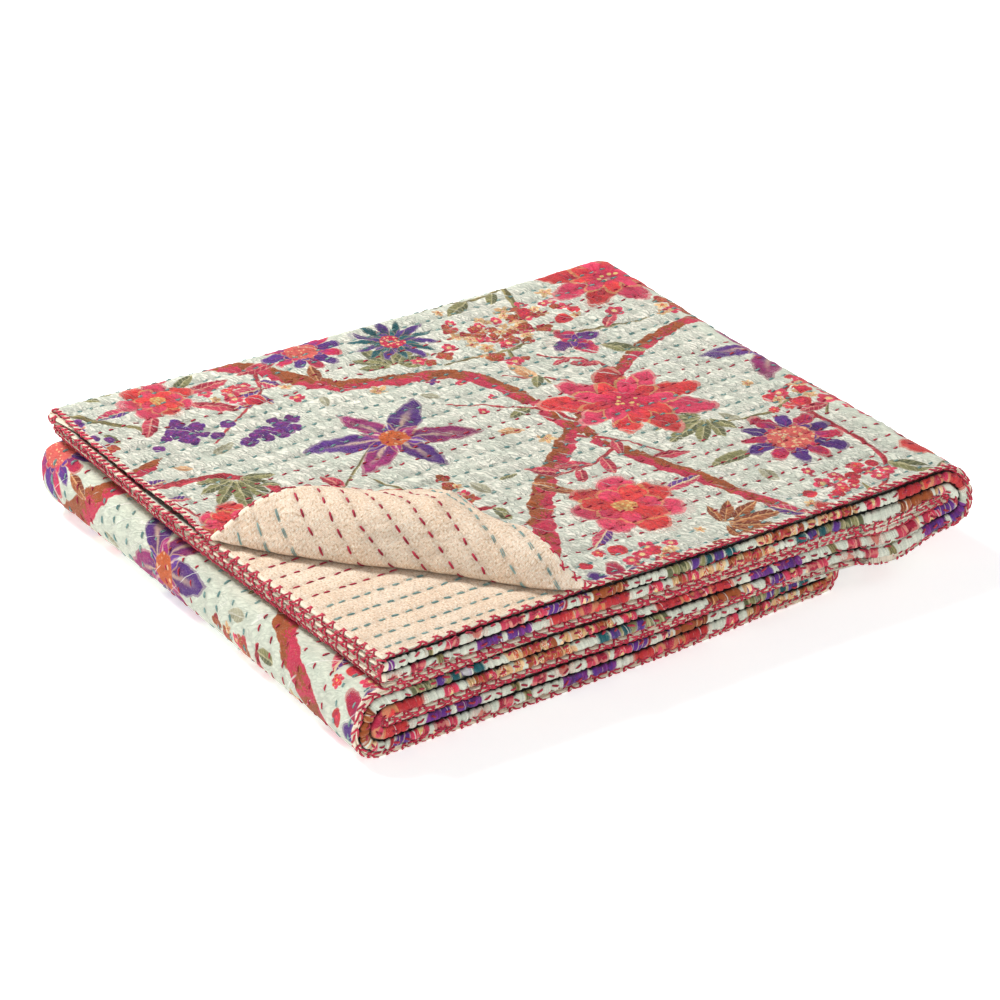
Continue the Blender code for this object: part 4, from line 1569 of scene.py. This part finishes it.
# %% Sums
def reckoned(operation, *values):
    """One Math node, or one Vector Math node where a vector takes part."""
    vector = any(isinstance(value, tuple) or getattr(value, "is_vector", False) for value in values)
    node = placed("VectorMath" if vector else "Math", dict(enumerate(values)), operation=operation)
    return Wire(node.outputs[0])


class Wire:
    """The output of a node, which can be reckoned with."""

    def __init__(self, socket):
        self.socket, self.tree = socket, socket.id_data
        self.is_vector = socket.type in ("VECTOR", "RGBA")

    def __add__(self, other):
        return reckoned("ADD", self, other)

    def __sub__(self, other):
        return reckoned("SUBTRACT", self, other)

    def __rsub__(self, other):
        return reckoned("SUBTRACT", other, self)

    def __mul__(self, other):
        if self.is_vector:
            return Wire(placed("VectorMath", {0: self, "Scale": other}, operation="SCALE").outputs[0])
        return reckoned("MULTIPLY", self, other)

    def __truediv__(self, other):
        return reckoned("DIVIDE", self, other)

    def __rtruediv__(self, other):
        return reckoned("DIVIDE", other, self)

    def __abs__(self):
        return reckoned("ABSOLUTE", self)

    __radd__, __rmul__ = __add__, __mul__


# %% Blends and noise
def blended(share, below, above, how="MIX"):
    """One colour over another."""
    return Wire(placed("Mix", {0: share, 6: below, 7: above}, data_type="RGBA", blend_type=how).outputs[2])


def toned(colour, tone):
    """A colour made lighter or darker."""
    return blended(1.0, colour, joined(tone, tone, tone), "MULTIPLY")


def stepped(value, low, high):
    """0 below low and 1 above high, smooth between. Low may be the larger, which turns it round."""
    inputs = {"Value": value, "From Min": low, "From Max": high}
    return Wire(placed("MapRange", inputs, interpolation_type="SMOOTHSTEP").outputs["Result"])


def parts(vector):
    """The three numbers of a vector."""
    return [Wire(socket) for socket in placed("SeparateXYZ", {0: vector}).outputs]


def joined(x, y, z=0.0):
    """A vector of three numbers."""
    return Wire(placed("CombineXYZ", {0: x, 1: y, 2: z}).outputs[0])


def cloudy(place, scale, detail=2.0):
    """Noise at a place, about 0.5."""
    return Wire(placed("TexNoise", {"Vector": place, "Scale": scale, "Detail": detail}).outputs["Fac"])


def drifting(place, scale, detail, reach):
    """A vector that wanders to all sides from place to place."""
    noise_node = placed("TexNoise", {"Vector": place, "Scale": scale, "Detail": detail})
    return (Wire(noise_node.outputs["Color"]) - (0.5, 0.5, 0.5)) * reach


def chance(x, y):
    """Three numbers by chance for each pair of numbers."""
    return Wire(placed("TexWhiteNoise", {"Vector": joined(x, y)}, noise_dimensions="2D").outputs["Color"])


# %% Tables, attributes and groups
def chosen_from(kind, rows):
    """The row of three numbers that a kind has, from a short table."""
    node = placed("ValToRGB", {0: (kind + 0.5) / float(len(rows))})
    ramp = node.color_ramp
    ramp.interpolation = "CONSTANT"
    while len(ramp.elements) < len(rows):
        ramp.elements.new(1.0)
    for number, (element, row) in enumerate(zip(list(ramp.elements), rows)):
        element.position = number / len(rows)
        element.color = (*row, 1.0)
    return Wire(node.outputs["Color"])


def attribute(tree, name, output="Fac"):
    """A mesh attribute."""
    node = tree.nodes.new("ShaderNodeAttribute")
    node.attribute_name = name
    return Wire(node.outputs[output])


def flat_map(tree, name):
    """The place on one of the piece's own maps."""
    node = tree.nodes.new("ShaderNodeUVMap")
    node.uv_map = name
    return Wire(node.outputs[0])


def new_group(name, inputs, outputs):
    """A node group with named inputs and outputs, as its tree, the wires that come in and the sockets that go out."""
    tree = bpy.data.node_groups.new(name, "ShaderNodeTree")
    for way, sockets in (("INPUT", inputs), ("OUTPUT", outputs)):
        for socket, kind in sockets.items():
            tree.interface.new_socket(socket, in_out=way, socket_type="NodeSocket" + kind)
    start, end = tree.nodes.new("NodeGroupInput"), tree.nodes.new("NodeGroupOutput")
    return tree, {name: Wire(start.outputs[name]) for name in inputs}, end.inputs


def use_group(tree, group, **values):
    """Places a group in a tree and gives back its wires by name."""
    node = tree.nodes.new("ShaderNodeGroup")
    node.node_tree = group
    for name, value in values.items():
        feed(node.inputs[name], value)
    return {socket.name: Wire(socket) for socket in node.outputs}


print("helpers ready")

# %% [markdown]
# ## Drawing a flower
#
# A flower is a circle cut into petals. The angle gives the petal and the place across it, and each petal has its own
# length and tone by chance, as a hand-cut block would. Its outline is a radius that falls off to the petal's sides:
# the fall and its sharpness make a lotus, a lily or a daisy out of the same sums. A second, smaller ring lies on the
# first, and a beaded heart on both.

# %% One ring of petals
RING_INPUTS = ("Turn", "Radius", "Count", "Fall", "Sharpness", "Seed")
petal_ring, start, end = new_group(
    "petal_ring", dict.fromkeys(RING_INPUTS, "Float"),
    {"Inside": "Float", "Across": "Float", "Outward": "Float", "Chance": "Color", "Petal": "Float"},
)
steps = start["Turn"] * start["Count"]
petal = reckoned("FLOOR", steps)
drawn = chance(petal, start["Seed"])
chances = parts(drawn)
across = reckoned("FRACT", steps) * 2.0 - 1.0
across = across + (chances[1] - 0.5) * 0.5 * (1.0 - across * across)  # each petal leans a little
fall = reckoned("POWER", abs(across), start["Sharpness"]) * start["Fall"]
reach = (1.0 - fall) * (1.0 - chances[0] * 0.24)
feed(end["Inside"], reach - start["Radius"])
feed(end["Across"], across)
feed(end["Outward"], start["Radius"] / reach)
feed(end["Chance"], drawn)
feed(end["Petal"], petal)

# %% The kinds of flower
class Flower(NamedTuple):
    """How one kind of flower is drawn. Colours are red, green and blue as light."""

    petals: int
    fall: float
    sharpness: float
    inner_size: float
    heart_size: float
    root: tuple  # colour next to the heart
    tip: tuple
    other: tuple  # colour of every second petal
    vein: tuple
    heart: tuple
    bead: tuple


CRIMSON = (0.60, 0.022, 0.075)
ROSE = (0.74, 0.055, 0.13)
SCARLET = (0.70, 0.045, 0.045)
PURPLE = (0.105, 0.028, 0.24)
PLUM = (0.16, 0.02, 0.13)
TEAL = (0.008, 0.085, 0.095)
PEACH = (0.86, 0.50, 0.27)
GOLD = (0.80, 0.55, 0.20)
CREAM = (0.86, 0.78, 0.60)
RUST = (0.36, 0.085, 0.022)

FLOWERS = (
    Flower(9, 0.40, 1.5, 0.62, 0.17, CRIMSON, SCARLET, ROSE, (0.42, 0.012, 0.05), CRIMSON, GOLD),
    Flower(6, 0.72, 1.0, 0.44, 0.19, (0.17, 0.03, 0.20), PURPLE, (0.36, 0.022, 0.16), (0.84, 0.60, 0.42),
           (0.62, 0.12, 0.025), PEACH),
    Flower(12, 0.42, 2.6, 0.50, 0.40, PURPLE, PURPLE, CRIMSON, (0.35, 0.02, 0.16), (0.70, 0.12, 0.10), PEACH),
    Flower(7, 0.26, 2.4, 0.66, 0.20, SCARLET, ROSE, SCARLET, (0.45, 0.02, 0.03), (0.75, 0.30, 0.10), GOLD),
    Flower(5, 0.34, 2.2, 0.40, 0.26, SCARLET, ROSE, ROSE, CRIMSON, GOLD, CREAM),
    Flower(3, 0.06, 2.0, 0.30, 0.05, CRIMSON, SCARLET, SCARLET, CRIMSON, CRIMSON, ROSE),
    Flower(4, 0.62, 1.2, 0.45, 0.10, PURPLE, CRIMSON, PURPLE, PLUM, TEAL, PEACH),
    Flower(14, 0.55, 1.4, 0.60, 0.27, TEAL, (0.012, 0.12, 0.14), PURPLE, (0.01, 0.04, 0.06), CRIMSON, PEACH),
    Flower(5, 0.55, 1.5, 0.35, 0.24, GOLD, PEACH, (0.88, 0.62, 0.36), RUST, (0.62, 0.10, 0.04), CREAM),
    Flower(4, 0.30, 1.6, 0.50, 0.12, RUST, (0.42, 0.10, 0.03), (0.50, 0.03, 0.05), RUST, CRIMSON, PEACH),
    Flower(4, 0.16, 2.0, 0.50, 0.16, PLUM, PURPLE, (0.20, 0.035, 0.26), PLUM, (0.40, 0.05, 0.30), PLUM),
)


def inks(kind, kinds, name):
    """The ink of that name that a kind of flower or leaf is printed with."""
    return chosen_from(kind, [getattr(each, name) for each in kinds])


print(len(FLOWERS), "kinds of flower")

# %% The two rings of a flower
flower, start, end = new_group("flower", {"Place": "Vector"}, {"Color": "Color", "Mask": "Float"})
place = parts(start["Place"])
kind = reckoned("FLOOR", place[2])
seed = place[2] * 17.0
x, y, _ = parts(start["Place"] + drifting(start["Place"], 5.0, 2.0, 0.13))
radius = reckoned("SQRT", x * x + y * y)
turn = reckoned("ARCTAN2", y, x) / (2 * math.pi) + 0.5

shape = parts(chosen_from(kind, [(f.petals / 20, f.fall, f.sharpness / 4) for f in FLOWERS]))
sizes = parts(chosen_from(kind, [(f.inner_size, f.heart_size, 0.0) for f in FLOWERS]))
count = reckoned("ROUND", shape[0] * 20.0)
same = {"Count": count, "Fall": shape[1], "Sharpness": shape[2] * 4.0}
outer = use_group(flower, petal_ring, Turn=turn, Radius=radius, Seed=seed, **same)
inner_turn = reckoned("FRACT", turn + 0.5 / count)
inner = use_group(flower, petal_ring, Turn=inner_turn, Radius=radius / sizes[0], Seed=seed + 5.0, **same)


def petal_colour(kind, ring, light):
    """The colour of a ring: from root to tip, veined, with a tone of its own for each petal."""
    outward, across = ring["Outward"], ring["Across"]
    root = inks(kind, FLOWERS, "root")
    odd = reckoned("GREATER_THAN", reckoned("FRACT", ring["Petal"] * 0.5), 0.25)
    tip = blended(odd, inks(kind, FLOWERS, "tip"), inks(kind, FLOWERS, "other"))
    streaks = cloudy(joined(across * 3.2, outward, ring["Petal"]), 2.6, 3.0)
    colour = blended(stepped(outward + (streaks - 0.5) * 0.9, 0.25, 0.85), root, tip)
    rib = stepped(abs(across), 0.22, 0.02) * stepped(outward, 0.95, 0.35)
    side = stepped(abs(across), 0.80, 0.98)
    colour = blended(stepped(streaks, 0.58, 0.70) * 0.55, colour, root)
    colour = blended(reckoned("MAXIMUM", rib * 0.75, side * 0.6), colour, inks(kind, FLOWERS, "vein"))
    return toned(colour, parts(ring["Chance"])[2] * 0.45 + light)


# %% A whole flower
colour = petal_colour(kind, outer, 0.72)
on_inner = stepped(inner["Inside"], 0.0, 0.03)
rim = stepped(inner["Inside"], -0.10, -0.06) - on_inner
colour = blended(rim * 0.45, colour, inks(kind, FLOWERS, "bead"))
colour = blended(on_inner, colour, petal_colour(kind, inner, 0.92))

dots = placed("TexVoronoi", {"Vector": start["Place"], "Scale": 11.0, "Randomness": 0.55})
beaded = stepped(Wire(dots.outputs["Distance"]), 0.42, 0.32)
beads = blended(beaded, inks(kind, FLOWERS, "heart"), inks(kind, FLOWERS, "bead"))
colour = blended(stepped(radius, sizes[1], sizes[1] - 0.03), colour, beads)
outline = 1.0 - stepped(outer["Inside"], 0.0, 0.02)
feed(end["Color"], blended(outline * 0.30, colour, CREAM))
feed(end["Mask"], stepped(outer["Inside"], -0.055, -0.035))
print("flower drawn with", len(flower.nodes), "nodes")

# %% [markdown]
# ## Leaves and wood
#
# A leaf is a stretch from 0 to 1 with a width that swells and narrows. Its two halves have two tones, and a midrib
# and side veins are left lighter. Wood is a line with a width: rust on its shaded side, crimson on the other, with
# bark drawn along it.

# %% The kinds of leaf
class LeafInk(NamedTuple):
    """The inks of one kind of leaf: its light half, its dark half and its veins."""

    light: tuple
    dark: tuple
    vein: tuple


LEAF_INKS = (
    LeafInk((0.26, 0.25, 0.10), (0.13, 0.14, 0.065), (0.52, 0.47, 0.26)),
    LeafInk((0.62, 0.05, 0.10), (0.40, 0.015, 0.05), (0.78, 0.30, 0.24)),
    LeafInk((0.02, 0.16, 0.16), (0.008, 0.075, 0.085), (0.20, 0.42, 0.36)),
    LeafInk((0.80, 0.46, 0.24), (0.62, 0.27, 0.12), (0.88, 0.70, 0.45)),
    LeafInk((0.40, 0.11, 0.035), (0.24, 0.05, 0.02), (0.70, 0.36, 0.16)),
    LeafInk((0.46, 0.44, 0.30), (0.36, 0.34, 0.22), (0.60, 0.58, 0.46)),
    LeafInk((0.66, 0.05, 0.13), (0.13, 0.03, 0.25), (0.80, 0.62, 0.40)),
)
leaf, start, end = new_group("leaf", {"Place": "Vector"}, {"Color": "Color", "Mask": "Float"})
along, across, number = parts(start["Place"])
kind = reckoned("FLOOR", number)
across = across + (cloudy(start["Place"], 3.5, 2.0) - 0.5) * 0.55
inside = reckoned("MAXIMUM", along * (1.0 - along) * 4.0, 0.0)
margin = reckoned("POWER", inside, 0.85) * (1.18 - along * 0.34) - abs(across)
half = stepped(across, -0.06, 0.06)
colour = blended(half, inks(kind, LEAF_INKS, "dark"), inks(kind, LEAF_INKS, "light"))
comb = reckoned("SINE", (along - abs(across) * 0.16) * 40.0)
veins = reckoned("MAXIMUM", stepped(comb, 0.72, 0.95) * 0.55, stepped(abs(across), 0.15, 0.06))
colour = blended(veins, colour, inks(kind, LEAF_INKS, "vein"))
feed(end["Color"], blended(stepped(margin, 0.08, 0.0) * 0.30, colour, CREAM))
feed(end["Mask"], stepped(margin, -0.12, -0.04) * stepped(inside, 0.0, 0.02))
print(len(LEAF_INKS), "kinds of leaf, drawn with", len(leaf.nodes), "nodes")

# %% Wood
wood, start, end = new_group("wood", {"Place": "Vector"}, {"Color": "Color", "Mask": "Float"})
sideways, packed, along = parts(start["Place"])
kind = reckoned("FLOOR", packed / 10.0)
half = packed - kind * 10.0
knots = cloudy(joined(along * 0.09, sideways * 0.12, kind), 1.0, 3.0)
across = sideways / (half * (knots * 1.36 + 0.32))
bark = cloudy(joined(along * 0.11, across * 1.3, kind), 2.4, 4.0)
patch = cloudy(joined(along * 0.040, across * 0.35, kind), 1.0, 1.0)
lit = stepped(across + ((bark - 0.5) * 3.6 + (patch - 0.5) * 7.0), -0.20, 0.20)
light = chosen_from(kind, [(0.60, 0.035, 0.085), (0.34, 0.29, 0.12), (0.62, 0.05, 0.08)])
dark = chosen_from(kind, [RUST, (0.15, 0.13, 0.05), (0.36, 0.02, 0.035)])
colour = blended(stepped(bark, 0.60, 0.68) * 0.7, blended(lit, dark, light), (0.45, 0.16, 0.05))
edge = (abs(across) - 1.0) / (0.45 / half)
feed(end["Color"], blended(stepped(edge, -0.2, 0.2) * 0.30, colour, CREAM))
feed(end["Mask"], stepped(edge, 1.3, 0.8))
print("wood drawn with", len(wood.nodes), "nodes")

# %% [markdown]
# ## Cotton
#
# Both cloths are plain weave, the print fine and the backing coarse, with slubs where a thread runs thick. One group
# makes the weave for both, from the flat map in metres, so that the threads run with the cloth round every fold. It
# gives a height for the bump and a tone for the colour: painted shade in the gaps between threads, and a tone of its
# own along each slub.

# %% Weave
weave, start, end = new_group(
    "weave", {"Place": "Vector", "Spacing": "Float", "Slub": "Float"}, {"Height": "Float", "Tone": "Float"},
)
counted = start["Place"] * (1.0 / start["Spacing"])
x, y, _ = parts(counted + drifting(counted, 0.16, 1.0, 1.5))
over_and_under = reckoned("SINE", x * math.pi) * reckoned("SINE", y * math.pi)
crossing = abs(over_and_under)
on_top = reckoned("GREATER_THAN", over_and_under, 0.0)
slub_x = cloudy(joined(x * 0.06, y * 0.9, 0.0), 1.0, 2.0)
slub_y = cloudy(joined(x * 0.9, y * 0.06, 3.0), 1.0, 2.0)
slub = slub_x + slub_y - 1.0
feed(end["Height"], crossing * 0.6 + on_top * 0.15 + slub * start["Slub"])
# painted shade in the gaps between threads, and the slubs' own tone
feed(end["Tone"], 0.86 + crossing * 0.16 + slub * (start["Slub"] * 0.22))

# %% [markdown]
# Washed cotton also has creases finer than the mesh. They run mostly across the rows, and are sharp at the top, so
# they are folded noise. Painted shade darkens what is deep, and what stands up is left paler. A few long creases
# run on across several rows, and a pale painted highlight is drawn along them.

# %% Fine creases
creases, start, end = new_group(
    "fine_creases", {"Place": "Vector", "Size": "Float"}, {"Height": "Float", "Shade": "Float", "Line": "Float"},
)
x, y, _ = parts(start["Place"] * (1.0 / start["Size"]))
slanted = joined(x * 0.42, y + x * RIDGE_TILT)
bend = drifting(slanted, 0.35, 1.0, 2.2)
slanted = slanted + bend


def folded(noise_wire):
    """A sharp crease where the noise passes its middle."""
    return stepped(abs(noise_wire - 0.5), 0.0, 0.17)


first, second = folded(cloudy(slanted, 1.0, 1.0)), folded(cloudy(slanted + (7.3, 1.9, 4.0), 2.1, 1.0))
height = first * 0.72 + second * 0.28
long_one = joined(x * 0.022, (y + x * 0.80) * 0.15) + bend * 0.045
steps = parts(long_one)[1] + cloudy(long_one, 1.0, 1.0) * 1.6
# a pale line along a few long creases, painted as a highlight, and a little bump
line = stepped(abs(reckoned("FRACT", steps) - 0.5), 0.034, 0.008)
line = line * stepped(cloudy(joined(x * 0.09, y * 0.06, 4.0), 1.0, 1.0), 0.49, 0.54)  # only here and there
feed(end["Line"], line)
feed(end["Height"], height + line * 0.6)
# painted shade: deep in the creases
feed(end["Shade"], 1.0 - height)


# %% Finishing a shader
def raised(shader, height, depth):
    """Gives a shader a bump of some depth in metres."""
    bump = placed("Bump", {"Height": height, "Strength": 1.0, "Distance": depth})
    feed(shader.inputs["Normal"], Wire(bump.outputs[0]))


def patchy(place, scale, detail, low, high):
    """Patches of some size: 0 where the noise is below low, 1 where it is above high."""
    return stepped(cloudy(place, scale, detail), low, high)


# %% The printed cotton
SAGE = (0.53, 0.61, 0.50)
PALE_LIP = (0.98, 0.86, 0.68)  # the undyed edge, worn pale
printed_cotton, shader = plain_material("printed_cotton", SAGE, 0.86)
tree = printed_cotton.node_tree
place = flat_map(tree, "cloth")
fine = use_group(tree, creases, Place=place, Size=0.0028)
crinkled = attribute(tree, "crinkle")
colour = blended(patchy(place, 42.0, 3.0, 0.35, 0.65), (0.81, 0.82, 0.70), (0.93, 0.895, 0.775))
colour = blended(patchy(place, 230.0, 2.0, 0.57, 0.66) * 0.26, colour, (0.52, 0.60, 0.53))
# painted shade: the ground is darker and greener where the cloth lies smooth on the turns and folds
colour = blended((1.0 - crinkled) * 0.85, colour, (0.60, 0.67, 0.54))
# painted shade in the fine creases
colour = blended(stepped(fine["Shade"], 0.25, 0.90) * (crinkled * 0.50), colour, (0.40, 0.47, 0.39))
for motif, name in ((wood, "wood"), (leaf, "leaf"), (flower, "sprig"), (flower, "bloom")):
    drawn = use_group(tree, motif, Place=attribute(tree, name, "Vector"))
    colour = blended(drawn["Mask"], colour, drawn["Color"])

colour = blended(patchy(place, 900.0, 2.0, 0.58, 0.76) * 0.22, colour, (0.80, 0.76, 0.66))
# painted highlight along the long creases
colour = blended(fine["Line"] * 0.65, colour, (0.92, 0.91, 0.84))
ragged = attribute(tree, "edge_gap") + (cloudy(place, 260.0, 2.0) - 0.5) * 2.4
colour = blended(stepped(ragged, 3.0, 1.9), colour, PALE_LIP)

# %% Its painted shade, weave and bump
woven = use_group(tree, weave, Place=place, Spacing=0.00042, Slub=0.55)
# painted shade: darker in the valleys of the relief and in the fine creases, paler on its tops
shade = 0.70 + stepped(attribute(tree, "relief"), -1.1, 0.7) * 0.36 - fine["Shade"] * 0.14
# painted shade in the slits between the front folds and in the gap at the left end
shade = shade * stepped(attribute(tree, "painted_slit_shade"), 0.86, 0.14)
feed(shader.inputs["Base Color"], toned(colour, shade * woven["Tone"]))
raised(shader, fine["Height"] * crinkled + woven["Height"] * 0.08, 0.0011)
shader.inputs["Sheen Weight"].default_value = 0.08
shader.inputs["Sheen Roughness"].default_value = 0.5
shader.inputs["Specular IOR Level"].default_value = 0.25
printed_cloth.data.materials.append(printed_cotton)
print("printed cotton drawn with", len(tree.nodes), "nodes")

# %% The backing
backing_cotton, shader = plain_material("backing_cotton", (0.80, 0.63, 0.45), 0.9)
tree = backing_cotton.node_tree
place = flat_map(tree, "cloth")
colour = blended(patchy(place, 30.0, 3.0, 0.35, 0.65), (0.82, 0.62, 0.455), (0.90, 0.73, 0.57))
colour = blended(patchy(place, 800.0, 2.0, 0.50, 0.62) * 0.72, colour, (0.97, 0.90, 0.77))
husk = patchy(place + (3.1, 0.7, 0.0), 720.0, 2.0, 0.52, 0.66)
colour = blended(husk * 0.70, colour, (0.56, 0.36, 0.20))
colour = blended(stepped(attribute(tree, "edge_gap"), 2.0, 0.7), colour, PALE_LIP)
woven = use_group(tree, weave, Place=place, Spacing=0.00075, Slub=1.3)
# painted shade: darker in the valleys of the relief
shade = 0.88 + stepped(attribute(tree, "relief"), -0.35, 0.5) * 0.16
feed(shader.inputs["Base Color"], toned(colour, shade * woven["Tone"]))
fine = use_group(tree, creases, Place=place, Size=0.0062)
raised(shader, fine["Height"] * 0.28 + woven["Height"] * 0.30, 0.0009)
shader.inputs["Sheen Weight"].default_value = 0.08
shader.inputs["Specular IOR Level"].default_value = 0.2
backing_cloth.data.materials.append(backing_cotton)
print("backing drawn with", len(tree.nodes), "nodes")

# %% [markdown]
# ## Thread
#
# Quilting thread here is a few strands laid side by side with a slight twist. The map along and round each stitch
# gives the strands, with painted shade in the grooves between them, and chance a slightly different tone to each
# stitch.

# %% Strands
strands, start, end = new_group("strands", {"Twist": "Float", "Plies": "Float"}, {"Height": "Float", "Tone": "Float"})
along, round_it, _ = parts(flat_map(strands, "thread"))
ply = abs(reckoned("SINE", (along * start["Twist"] + round_it * start["Plies"]) * math.pi))
feed(end["Height"], ply)
# painted shade: the grooves between the strands are darker
feed(end["Tone"], 0.62 + ply * 0.42)


def thread_material(name, dark, light, twist):
    """A cotton thread between two tones."""
    material, shader = plain_material(name, light, 0.75)
    tree = material.node_tree
    ply = use_group(tree, strands, Twist=twist, Plies=3.0)
    where = Wire(tree.nodes.new("ShaderNodeTexCoord").outputs["Object"])
    colour = blended(patchy(where, 160.0, 2.0, 0.35, 0.65), dark, light)
    feed(shader.inputs["Base Color"], toned(colour, ply["Tone"]))
    raised(shader, ply["Height"], 0.00025)
    shader.inputs["Sheen Weight"].default_value = 0.1
    return material


red_thread = thread_material("red_thread", (0.36, 0.008, 0.035), (0.56, 0.022, 0.06), 2.0)
teal_thread = thread_material("teal_thread", (0.19, 0.38, 0.37), (0.37, 0.57, 0.53), 2.0)
red_edge_thread = thread_material("red_edge_thread", (0.50, 0.010, 0.045), (0.70, 0.03, 0.08), 7.0)
running["red"].data.materials.append(red_thread)
running["teal"].data.materials.append(teal_thread)
edge_stitches.data.materials.append(red_edge_thread)
print("three threads")

# %% [markdown]
# ## Putting the quilt in its frame
#
# The two cloths stand for the two imported solids, which are hidden, and every stitch rides with them.

# %% Riding along
threads = (*running.values(), edge_stitches)
for piece, node, slot in (
    (printed_cloth, "printed_face", "printed_cotton"),
    (backing_cloth, "plain_backing", "backing_cotton"),
):
    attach(piece, "root")
    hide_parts(node)
for piece in threads:
    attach(piece, "root")
